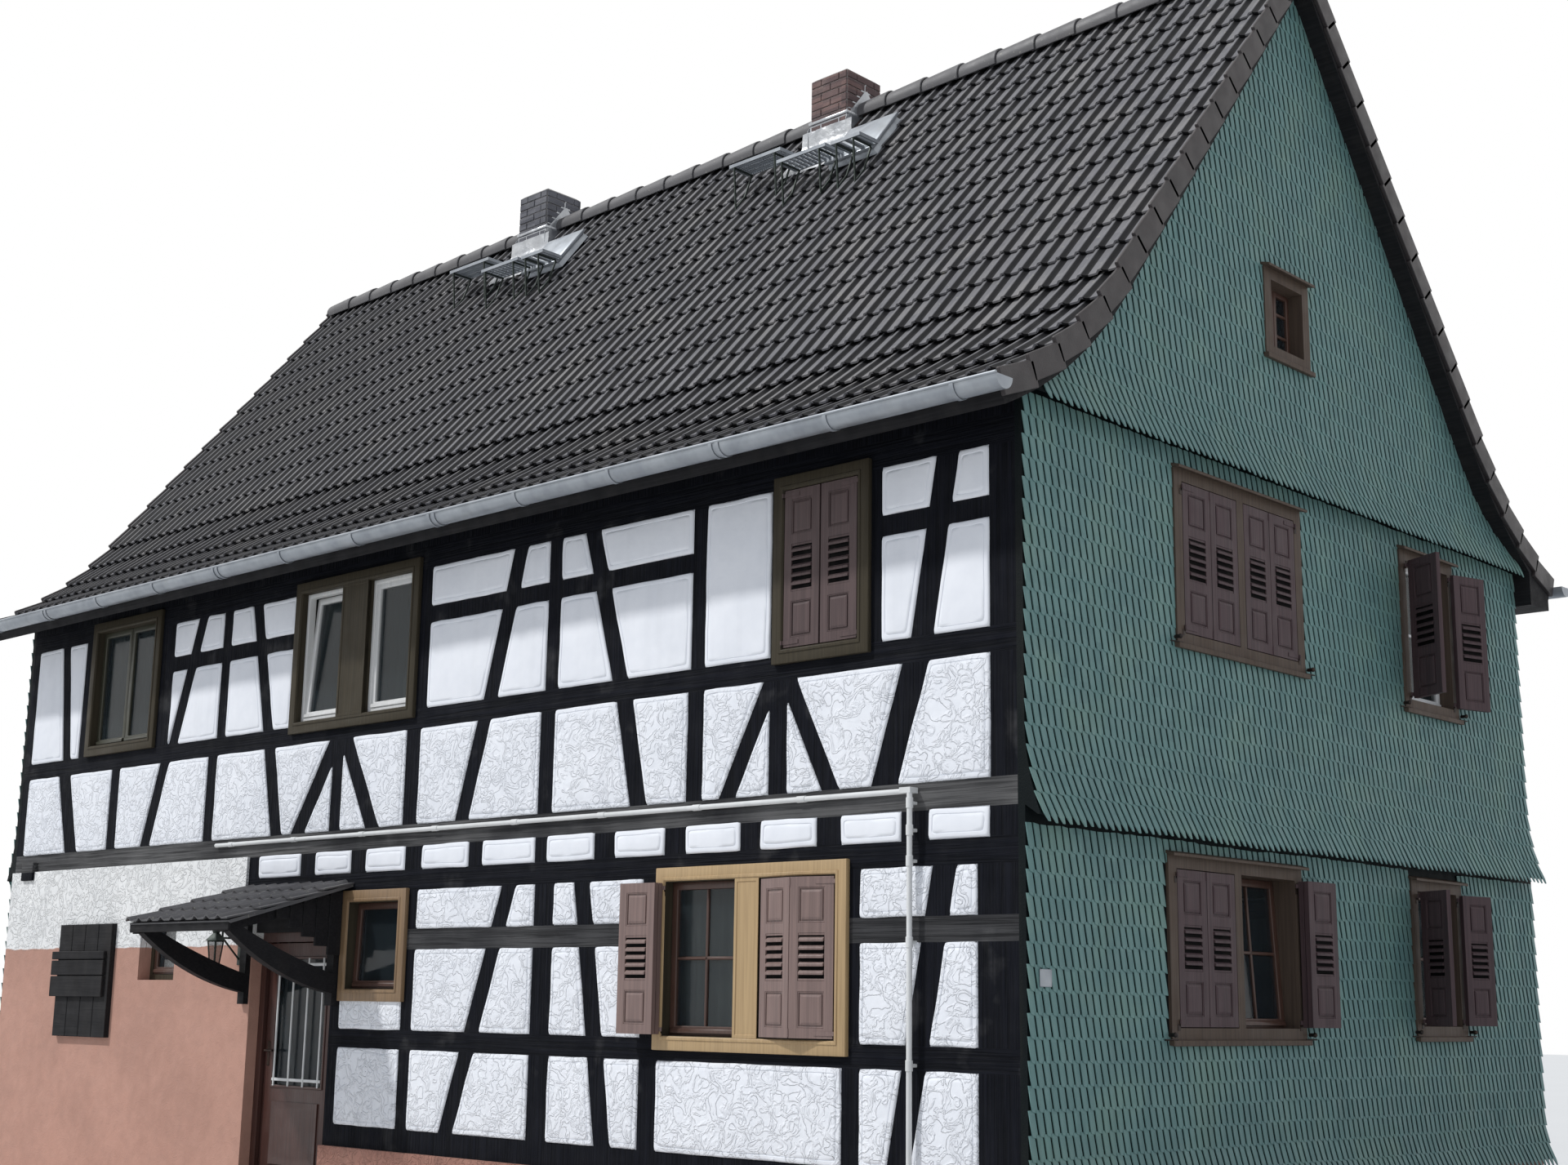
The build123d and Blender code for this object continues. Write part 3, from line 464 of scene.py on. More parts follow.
@dataclass
class Shading:
    """The nodes of one material or node group while it is put together."""

    tree: bpy.types.NodeTree

    def feed(self, socket: Socket, value: object) -> None:
        """Sets a socket to a value or links another node's output to it.

        Args:
            socket: The input.
            value: A number, a colour or an output socket.
        """
        if isinstance(value, bpy.types.NodeSocket):
            self.tree.links.new(value, socket)
        elif isinstance(value, tuple) and len(value) == 3 and socket.type == "RGBA":
            socket.default_value = (*value, 1.0)
        else:
            socket.default_value = value

    def fed(self, kind: str, inputs: dict, **settings: object) -> bpy.types.NodeOutputs:
        """Adds a node and feeds its inputs.

        Args:
            kind: The node's type, without the leading ShaderNode.
            inputs: A value or an output socket for each input, by its number or name.
            settings: Its properties.

        Returns:
            The node's outputs.
        """
        node = self.tree.nodes.new("ShaderNode" + kind)
        for key, value in settings.items():
            setattr(node, key, value)
        for label, value in inputs.items():
            self.feed(node.inputs[label], value)
        return node.outputs

    def maths(self, operation: str, first: object, second: object = 0.0) -> Socket:
        """Works out one number from two, by a Math node's operation."""
        return self.fed("Math", {0: first, 1: second}, operation=operation)[0]

    def plus(self, first: object, second: object) -> Socket:
        """Adds two numbers."""
        return self.maths("ADD", first, second)

    def times(self, first: object, second: object) -> Socket:
        """Multiplies two numbers."""
        return self.maths("MULTIPLY", first, second)

    def spread(self, value: Socket, low: float, high: float, first: float = 0.0, last: float = 1.0) -> Socket:
        """Stretches the range of numbers from low to high so that it runs from first to last, and clamps it."""
        return self.fed("MapRange", dict(enumerate((value, low, high, first, last))))[0]

    def blend(self, share: object, first: object, second: object) -> Socket:
        """Mixes two colours, with this share of the second."""
        return self.fed("Mix", {0: share, 6: first, 7: second}, data_type="RGBA")[2]

    def place(self, scale: Point = (1, 1, 1)) -> Socket:
        """Gives the place on the object, stretched by a scale along each axis."""
        where = self.fed("TexCoord", {})["Object"]
        return self.fed("Mapping", {"Vector": where, "Scale": scale})[0]

    def height(self) -> Socket:
        """Gives the height over the ground."""
        return self.fed("SeparateXYZ", {0: self.place()})[2]

    def cloud(self, scale: object, stretch: Point = (1, 1, 1), detail: float = 3.0, bend: float = 0.0) -> Socket:
        """Adds noise from 0 to 1, with so many spots per metre, squeezed along each axis, layered and bent."""
        where = self.place(stretch)
        return self.fed("TexNoise", {"Vector": where, "Scale": scale, "Detail": detail, "Distortion": bend})[0]

    def group(self, name: str, **inputs: object) -> Socket:
        """Places a shared node group with these inputs and gives its output."""
        return self.fed("Group", inputs, node_tree=SHARED[name]())[0]


def shared(name: str, inputs: dict[str, tuple[str, object]], output: str, kind: str) -> tuple[Shading, dict, Socket]:
    """Starts a shared node group.

    Args:
        name: The group's name.
        inputs: The kind and default of each input.
        output: The output's name.
        kind: The output's kind.

    Returns:
        The group's nodes, its inputs by name and its output.
    """
    tree = bpy.data.node_groups.new(name, "ShaderNodeTree")
    for label, (socket_kind, value) in inputs.items():
        socket = tree.interface.new_socket(label, in_out="INPUT", socket_type="NodeSocket" + socket_kind)
        socket.default_value = (*value, 1.0) if socket_kind == "Color" else value
    tree.interface.new_socket(output, in_out="OUTPUT", socket_type="NodeSocket" + kind)
    shading = Shading(tree)
    start = tree.nodes.new("NodeGroupInput")
    end = tree.nodes.new("NodeGroupOutput")
    return shading, {label: start.outputs[label] for label in inputs}, end.inputs[output]


def drift_group() -> bpy.types.NodeTree:
    """Makes the group that lets a colour drift towards a second one in large and small patches.

    Returns:
        The group.
    """
    if "tone drift" in bpy.data.node_groups:
        return bpy.data.node_groups["tone drift"]
    inputs = {"Colour": ("Color", (0.5, 0.5, 0.5)), "Other": ("Color", (0.3, 0.3, 0.3)), "Amount": ("Float", 0.5),
              "Scale": ("Float", 2.0)}
    shading, given, result = shared("tone drift", inputs, "Colour", "Color")
    large = shading.cloud(given["Scale"])
    small = shading.cloud(9.0, detail=5.0)
    mixed = shading.plus(shading.times(large, 0.6), shading.times(small, 0.4))
    share = shading.times(shading.spread(mixed, 0.38, 0.62), given["Amount"])
    shading.feed(result, shading.blend(share, given["Colour"], given["Other"]))
    return shading.tree


def grain_group() -> bpy.types.NodeTree:
    """Makes the group that gives wood grain along X or Z as a height from 0 to 1.

    Returns:
        The group.
    """
    if "wood grain" in bpy.data.node_groups:
        return bpy.data.node_groups["wood grain"]
    shading, given, result = shared("wood grain", {"Level": ("Float", 0.0)}, "Height", "Float")
    along_x = shading.cloud(1.0, (1.6, 45, 60), 4.0, 0.3)
    along_z = shading.cloud(1.0, (60, 45, 1.6), 4.0, 0.3)
    turned = shading.fed("Mix", {0: given["Level"], 2: along_z, 3: along_x}, data_type="FLOAT")[0]
    shading.feed(result, turned)
    return shading.tree


def grime_group() -> bpy.types.NodeTree:
    """Makes the group that gives rain streaks and dirt as a mask, stronger near the ground.

    Returns:
        The group.
    """
    if "rain grime" in bpy.data.node_groups:
        return bpy.data.node_groups["rain grime"]
    shading, given, result = shared("rain grime", {"Amount": ("Float", 0.3)}, "Mask", "Float")
    streaks = shading.spread(shading.cloud(1.0, (9, 9, 0.7), 4.0), 0.5, 0.75)
    low = shading.spread(shading.height(), 1.1, 0.1, 0.0, 0.8)
    both = shading.plus(shading.times(streaks, 0.8), low)
    shading.feed(result, shading.times(both, given["Amount"]))
    return shading.tree


SHARED = {"drift": drift_group, "grain": grain_group, "grime": grime_group}
DIRT = srgb(70, 66, 58)
DIRT_COLD = srgb(45, 48, 44)
DIRT_WARM = srgb(60, 54, 48)
PALE_SPOT = srgb(170, 168, 150)


@dataclass(frozen=True)
class Finish:
    """A plain finish whose colour drifts between two tones, with streaks of dirt and a fine relief."""

    name: str
    colour: Colour
    other: Colour
    drift: float = 0.6
    patches: float = 2.0
    roughness: float = 0.6
    specular: float = 0.5
    metallic: float = 0.0
    grime: float = 0.15
    relief: float = 0.15
    relief_scale: float = 120.0
    slot: str = ""

    def material(self) -> bpy.types.Material:
        """Makes the material once and gives it back after that.

        Returns:
            The material.
        """
        made = bpy.data.materials.get(self.name)
        if made:
            return made
        made = bpy.data.materials.new(self.name)
        made.use_nodes = True
        shading = Shading(made.node_tree)
        surface = made.node_tree.nodes["Principled BSDF"]
        bump = shading.fed("Bump", {"Strength": 1.0, "Distance": self.depth(), "Height": self.surface(shading)})[0]
        for label, value in (("Metallic", self.metallic), ("Specular IOR Level", self.specular), ("Normal", bump),
                             ("Base Color", self.paint(shading)), ("Roughness", self.sheen(shading))):
            shading.feed(surface.inputs[label], value)
        self.extras(surface)
        return made

    def paint(self, shading: Shading) -> Socket:
        """Gives the colour over the surface.

        Args:
            shading: The material's nodes.

        Returns:
            The colour.
        """
        tone = shading.group("drift", Colour=self.colour, Other=self.other, Amount=self.drift, Scale=self.patches)
        dirt = shading.group("grime", Amount=self.grime)
        return shading.blend(dirt, tone, DIRT)

    def sheen(self, shading: Shading) -> Socket:
        """Gives the roughness over the surface."""
        return shading.spread(shading.cloud(7.0), 0.3, 0.7, self.roughness - 0.08, min(1.0, self.roughness + 0.1))

    def surface(self, shading: Shading) -> Socket:
        """Gives the height of the relief over the surface."""
        return shading.cloud(self.relief_scale, detail=4.0)

    def depth(self) -> float:
        """Gives the depth of the relief in metres."""
        return self.relief * 0.01

    def extras(self, surface: bpy.types.Node) -> None:
        """Sets what only some finishes have."""


@dataclass(frozen=True)
class Timber(Finish):
    """Dark painted timber whose grain runs along the beams and up the posts, weathered grey along the sill and the
    middle rail and in patches.
    """

    beams: tuple[Span, ...] = (
        (2.42, 2.575), (2.745, 2.912), (3.635, 3.795), (4.88, 5.06), (1.98, 2.13), (1.25, 1.39),
    )
    sill: Span = (2.745, 2.912)
    middle: Span = (1.98, 2.13)
    worn: Colour = (0.15, 0.148, 0.146)

    def level(self, shading: Shading, beams: tuple[Span, ...] = ()) -> Socket:
        """Gives 1 on level beams and 0 on posts.

        Args:
            shading: The material's nodes.
            beams: Bottom and top of each beam, or nothing for all of them.

        Returns:
            The mask.
        """
        up = shading.height()
        total: object = 0.0
        for low, high in beams or self.beams:
            above = shading.maths("GREATER_THAN", up, low)
            below = shading.maths("LESS_THAN", up, high)
            total = shading.plus(total, shading.times(above, below))
        return total

    def surface(self, shading: Shading) -> Socket:
        """Gives the height of the grain and its cracks."""
        grain = shading.group("grain", Level=self.level(shading))
        return shading.spread(grain, 0.32, 0.62)

    def paint(self, shading: Shading) -> Socket:
        """Gives dark paint with grain, worn to grey wood in places.

        Args:
            shading: The material's nodes.

        Returns:
            The colour.
        """
        grain = shading.group("grain", Level=self.level(shading))
        tone = shading.blend(shading.spread(grain, 0.35, 0.7), self.colour, self.other)
        bare = shading.plus(shading.times(self.level(shading, (self.sill,)), 0.9),
                            shading.times(self.level(shading, (self.middle,)), 0.45))
        patches = shading.spread(shading.cloud(1.6, (0.6, 1, 0.6), 5.0), 0.35, 0.7, 0.3, 1.2)
        wear = shading.plus(shading.times(bare, patches),
                            shading.spread(shading.cloud(3.0, detail=5.0), 0.62, 0.8, 0.0, 0.35))
        weathered = shading.times(wear, shading.spread(grain, 0.3, 0.6, 0.35, 1.0))
        return shading.blend(weathered, tone, self.worn)


@dataclass(frozen=True)
class Plaster(Finish):
    """White lime plaster, smooth in the upper panels and roughly trowelled in the rows under the breast rail."""

    breast_rail: Span = (3.56, 3.66)
    joist_rows: Span = (2.55, 2.76)

    def rough(self, shading: Shading) -> Socket:
        """Gives 1 where the plaster is trowelled roughly.

        Args:
            shading: The material's nodes.

        Returns:
            The mask.
        """
        up = shading.height()
        low, high = self.joist_rows
        lower = shading.spread(up, self.breast_rail[1], self.breast_rail[0])
        band = shading.times(shading.maths("GREATER_THAN", up, low), shading.maths("LESS_THAN", up, high))
        return shading.maths("MAXIMUM", shading.maths("SUBTRACT", lower, band), 0.0)

    def surface(self, shading: Shading) -> Socket:
        """Gives curled trowel ridges over a gentle unevenness.

        Args:
            shading: The material's nodes.

        Returns:
            The height.
        """
        warp = shading.fed("TexNoise", {"Vector": shading.place(), "Scale": 6.0})[1]
        where = shading.place((0.8, 1.0, 0.9))
        bent = shading.fed("VectorMath", {0: warp, 1: (0.35, 0.35, 0.35), 2: where}, operation="MULTIPLY_ADD")[0]
        ridges = shading.fed("TexVoronoi", {"Vector": bent, "Scale": 11.0}, feature="SMOOTH_F1")[0]
        curls = shading.cloud(10.0, (0.9, 1, 1), 3.0, 1.6)
        swirl = shading.maths("ABSOLUTE", shading.maths("SUBTRACT", curls, 0.5))
        rough = shading.plus(shading.times(ridges, 0.5), shading.spread(swirl, 0.0, 0.07, 0.8, 0.0))
        gentle = shading.times(shading.cloud(5.0), 0.9)
        return shading.plus(gentle, shading.times(rough, self.rough(shading)))


@dataclass(frozen=True)
class Render(Plaster):
    """Rough wall render, white above and painted in a second colour below a line, all of it trowelled."""

    base: Colour = (0.5, 0.25, 0.19)
    line: float = 2.03

    def rough(self, shading: Shading) -> Socket:
        """Gives 1 all over but for the painted foot, which is flatter."""
        return shading.spread(shading.height(), self.line - 0.02, self.line + 0.02, 0.12, 1.0)

    def paint(self, shading: Shading) -> Socket:
        """Gives the two colours with a slightly wavy line between them.

        Args:
            shading: The material's nodes.

        Returns:
            The colour.
        """
        upper = Finish.paint(self, shading)
        darker = tuple(0.8 * part for part in self.base)
        lower = shading.group("drift", Colour=self.base, Other=darker, Amount=0.8, Scale=1.4)
        edge = shading.plus(shading.height(), shading.times(shading.cloud(6.0), 0.04))
        return shading.blend(shading.spread(edge, self.line + 0.015, self.line + 0.025), lower, upper)


@dataclass(frozen=True)
class Cells(Finish):
    """A finish whose small repeated pieces each have a tone of their own."""

    cell: Point = (0.085, 0.085, 0.13)
    third: Colour = (0.3, 0.3, 0.3)
    spots: float = 0.0

    def paint(self, shading: Shading) -> Socket:
        """Gives each cell its own tone, with some worn and spotted.

        Args:
            shading: The material's nodes.

        Returns:
            The colour.
        """
        snap = shading.fed("VectorMath", {0: shading.place(), 1: self.cell}, operation="SNAP")[0]
        chance = shading.fed("TexWhiteNoise", {"Vector": snap})[0]
        tone = shading.blend(shading.times(chance, self.drift), self.colour, self.other)
        aged = shading.spread(shading.cloud(self.patches, detail=5.0), 0.5, 0.7, 0.0, 0.6)
        tone = shading.blend(aged, tone, self.third)
        if self.spots:
            fleck = shading.spread(shading.cloud(28.0, detail=2.0), 0.68, 0.72, 0.0, self.spots)
            tone = shading.blend(fleck, tone, PALE_SPOT)
        return shading.blend(shading.group("grime", Amount=self.grime), tone, DIRT_COLD)


@dataclass(frozen=True)
class RollTile(Cells):
    """Roof tiles with painted shade along the shaded side of each roll."""

    start: float = -12.19
    pitch: float = 0.15098
    shaded: float = 0.45
    edge: Span = (0.17, 0.13)
    depth_of_shade: float = 0.97
    # Near-black colour painted along the shaded side of each roll as painted shade.
    dark: Colour = (0.008, 0.008, 0.009)

    def paint(self, shading: Shading) -> Socket:
        """Gives the tiles' tones, with painted shade along the shaded side of each roll.

        Args:
            shading: The material's nodes.

        Returns:
            The colour.
        """
        tone = Cells.paint(self, shading)
        across = shading.fed("SeparateXYZ", {0: shading.place()})[0]
        along = shading.plus(across, -(self.start + CORNER.x) + 100 * self.pitch)
        share = shading.maths("FRACT", shading.maths("DIVIDE", along, self.pitch))
        off = shading.maths("ABSOLUTE", shading.maths("SUBTRACT", share, self.shaded))
        painted_flank_shade = shading.spread(off, *self.edge, 0.0, self.depth_of_shade)
        # Painted shade: the shaded side of each roll is painted near-black over the tiles' tones.
        return shading.blend(painted_flank_shade, tone, self.dark)


@dataclass(frozen=True)
class Wood(Finish):
    """Painted or oiled joinery with a fine upright or level grain."""

    level: float = 0.0

    def surface(self, shading: Shading) -> Socket:
        """Gives the height of the grain."""
        return shading.group("grain", Level=self.level)

    def paint(self, shading: Shading) -> Socket:
        """Gives the colour with grain and worn spots.

        Args:
            shading: The material's nodes.

        Returns:
            The colour.
        """
        grain = shading.group("grain", Level=self.level)
        share = shading.times(shading.spread(grain, 0.38, 0.66), self.drift)
        tone = shading.blend(share, self.colour, self.other)
        return shading.blend(shading.group("grime", Amount=self.grime), tone, DIRT_WARM)


@dataclass(frozen=True)
class Glass(Finish):
    """A window pane, slightly uneven."""

    def extras(self, surface: bpy.types.Node) -> None:
        """Lets light through."""
        surface.inputs["Alpha"].default_value = 0.45
        surface.inputs["IOR"].default_value = 1.5


TIMBER = Timber("timber dark", srgb(6, 8, 14), srgb(19, 21, 29), roughness=0.8, specular=0.12, relief=0.5,
                slot="timber")
PLASTER = Plaster("plaster white", srgb(243, 245, 249), srgb(228, 231, 237), drift=0.5, grime=0.05, relief=0.75,
                  roughness=0.8, slot="plaster")
RENDER = Render("render white", srgb(242, 242, 240), srgb(224, 225, 224), grime=0.06, relief=0.9, roughness=0.85,
                base=srgb(190, 146, 129), slot="render")
PLINTH = Render("render plinth", srgb(176, 128, 112), srgb(150, 104, 92), base=srgb(140, 92, 82), line=0.25,
                grime=0.3, relief=0.7, roughness=0.88, slot="plinth_render")
SHINGLE = Cells("shingle green", srgb(106, 142, 139), srgb(88, 122, 122), third=srgb(118, 150, 138), roughness=0.55,
                relief=0.25, slot="shingle")
# Near-black backing behind the shingles: painted shadow that shows in the joints between them.
SHINGLE_SHADOW_BACKING = Finish("shingle shadow", srgb(12, 20, 22), srgb(9, 15, 17), specular=0.1, relief=0.3, slot="shingle")
TILE = RollTile("tile grey", srgb(127, 126, 128), srgb(102, 102, 106), cell=(0.3, 0.2, 0.26),
                third=srgb(144, 141, 138), spots=0.5, roughness=0.5, specular=0.06, relief=0.12, slot="roof_tile")
CAP = Cells("tile cap grey", srgb(84, 83, 85), srgb(64, 64, 67), cell=(0.4, 0.4, 0.4), third=srgb(94, 92, 91),
            spots=0.4, roughness=0.5, relief=0.12, slot="roof_tile")
VERGE = Cells("tile verge brown", srgb(54, 48, 49), srgb(40, 38, 39), cell=(0.5, 0.2, 0.26), third=srgb(62, 56, 56),
              roughness=0.5, relief=0.12, slot="roof_tile")
BOARD = Wood("board dark", srgb(17, 17, 20), srgb(34, 33, 35), roughness=0.75, specular=0.25, relief=0.3, level=1.0,
             slot="dark_board")
ZINC = Finish("zinc dull", srgb(168, 173, 178), srgb(132, 138, 146), metallic=0.55, roughness=0.42, patches=5.0,
              relief=0.05, slot="zinc")
ZINC_BRIGHT = Finish("zinc crumpled", srgb(196, 198, 200), srgb(150, 154, 160), metallic=0.6, roughness=0.34,
                     patches=6.0, relief=1.1, relief_scale=14.0, slot="zinc")
BRICK_BROWN = Cells("brick brown", srgb(126, 100, 95), srgb(90, 74, 74), cell=(0.22, 0.22, 0.075), drift=1.0,
                    third=srgb(146, 128, 120), roughness=0.8, relief=0.6, slot="brick")
BRICK_SLATE = Cells("brick slate", srgb(104, 104, 110), srgb(76, 77, 84), cell=(0.22, 0.22, 0.075), drift=1.0,
                    third=srgb(126, 126, 130), roughness=0.75, relief=0.6, slot="brick")
MORTAR = Finish("mortar grey", srgb(160, 155, 150), srgb(124, 120, 116), roughness=0.9, relief=0.6, slot="brick")
CASING = Wood("casing olive", srgb(68, 62, 50), srgb(51, 47, 39), roughness=0.5, specular=0.12, relief=0.2,
              slot="casing")
CASING_OCHRE = Wood("casing ochre", srgb(183, 155, 114), srgb(158, 131, 94), roughness=0.5, relief=0.2, slot="casing")
CASING_TAN = Wood("casing tan", srgb(142, 116, 86), srgb(110, 88, 66), roughness=0.5, relief=0.2, slot="casing")
CASING_GABLE = Wood("casing brown", srgb(92, 79, 69), srgb(69, 59, 53), roughness=0.5, specular=0.12, relief=0.2,
                    slot="gable_casing")
SASH_WHITE = Wood("sash white", srgb(222, 222, 220), srgb(200, 200, 196), drift=0.4, roughness=0.35, relief=0.06,
                  slot="sash")
SASH_BROWN = Wood("sash brown", srgb(80, 56, 47), srgb(60, 43, 37), roughness=0.4, relief=0.12, slot="sash")
SASH_OLIVE = Wood("sash olive", srgb(60, 60, 47), srgb(45, 46, 37), roughness=0.4, relief=0.1, slot="sash")
PANE = Glass("pane clear", srgb(44, 52, 56), srgb(34, 40, 46), drift=0.3, grime=0.05, roughness=0.06,
             relief=0.02, relief_scale=3.0, slot="pane")
SHUTTER = Wood("shutter mauve", srgb(94, 79, 78), srgb(71, 60, 60), roughness=0.42, specular=0.2, relief=0.18,
               slot="shutter")
SHUTTER_GABLE = Wood("shutter brown", srgb(87, 71, 73), srgb(65, 54, 57), roughness=0.42, specular=0.12,
                     relief=0.18, slot="shutter")
# A lighter copy of the shutter paint for the ground-floor folding shutters: painted sunlight.
SHUTTER_PAINTED_SUNLIGHT = Wood("shutter sunlit", srgb(132, 110, 104), srgb(106, 88, 84), roughness=0.42, relief=0.18,
                      slot="shutter")
# Near-black plates behind the louvre slats: painted shade in the gaps between them.
LOUVRE_SHADE = Finish("louvre gap", srgb(10, 9, 10), srgb(16, 14, 14), specular=0.1, roughness=0.9, relief=0.05, slot="shutter")
DOOR = Wood("door brown", srgb(74, 46, 40), srgb(54, 34, 31), roughness=0.4, relief=0.2, slot="door_wood")
IRON = Finish("iron dark", srgb(44, 40, 40), srgb(70, 52, 42), metallic=0.7, roughness=0.5, relief=0.1,
              slot="hinge_iron")
LAMP = Finish("lamp green black", srgb(40, 50, 46), srgb(58, 64, 58), metallic=0.5, roughness=0.45, relief=0.08,
              slot="lamp_metal")
PLASTIC = Finish("plastic white", srgb(226, 227, 226), srgb(204, 205, 202), drift=0.5, roughness=0.35, relief=0.02,
                 slot="white_plastic")
STONE = Finish("stone step", srgb(150, 140, 128), srgb(120, 112, 104), roughness=0.8, relief=0.6, slot="step_stone")
FLOOR_STONE = Finish("stone floor", srgb(140, 132, 122), srgb(116, 108, 100), roughness=0.7, relief=0.3,
                     slot="floor_stone")
FLOOR_BOARD = Wood("board floor", srgb(134, 104, 74), srgb(104, 78, 54), roughness=0.6, relief=0.2, level=1.0,
                   slot="floor_board")
INNER = Finish("plaster inside", srgb(214, 208, 196), srgb(196, 190, 178), drift=0.4, grime=0.03, roughness=0.85,
               relief=0.15, slot="inner_plaster")
CLOTH = Finish("curtain cloth", srgb(98, 110, 101), srgb(68, 77, 72), roughness=0.9, relief=0.02,
               relief_scale=900.0, slot="plaster")


@dataclass
class Slope:
    """The street slope of the roof: straight from the ridge, then a flatter curved foot."""

    depth: float = 6.7
    pitch: float = math.radians(52)
    foot: float = math.radians(25)
    radius: float = 3.3
    overhang: float = 0.42
    eaves: float = 5.149
    left: float = -12.22
    right: float = 0.22
    curve: Point = field(init=False)
    length: float = field(init=False)

    def __post_init__(self) -> None:
        """Works out the middle of the curve and the length up the slope."""
        middle_y = -self.overhang - self.radius * math.sin(self.foot)
        middle_z = self.eaves + self.radius * math.cos(self.foot)
        self.curve = (0.0, middle_y, middle_z)
        straight = (self.depth / 2 - middle_y - self.radius * math.sin(self.pitch)) / math.cos(self.pitch)
        self.length = self.radius * (self.pitch - self.foot) + straight

    def at(self, run: float, up: float = 0.0) -> tuple[float, float, float]:
        """Gives a place on the slope.

        Args:
            run: Distance up the slope from the eaves.
            up: Height over the tiles, square to the slope.

        Returns:
            Y, Z and the slope's angle there.
        """
        arc = self.radius * (self.pitch - self.foot)
        angle = self.foot + min(run, arc) / self.radius
        _, y, z = self.curve
        y += self.radius * math.sin(angle)
        z -= self.radius * math.cos(angle)
        if run > arc:
            y += (run - arc) * math.cos(angle)
            z += (run - arc) * math.sin(angle)
        return y - up * math.sin(angle), z + up * math.cos(angle), angle

    def place(self, x: float, run: float, up: float = 0.0) -> Matrix:
        """Gives the turn and place of a piece drawn flat with Y up the slope."""
        y, z, angle = self.at(run, up)
        return Matrix.Translation((x, y, z)) @ Matrix.Rotation(angle, 4, "X")

    def run_to(self, y: float) -> float:
        """Gives the distance up the slope to a place on its straight part."""
        return self.length - (self.depth / 2 - y) / math.cos(self.pitch)


SLOPE = Slope()


def to_rear(piece: Piece, name: str) -> Piece:
    """Copies a piece to the rear half of the house."""
    return copied(piece, mirror(Y, SLOPE.depth / 2), name)


def to_left(piece: Piece, name: str) -> Piece:
    """Copies a piece from the right gable to the left one."""
    return copied(piece, mirror(X, -HOUSE_LENGTH / 2), name)


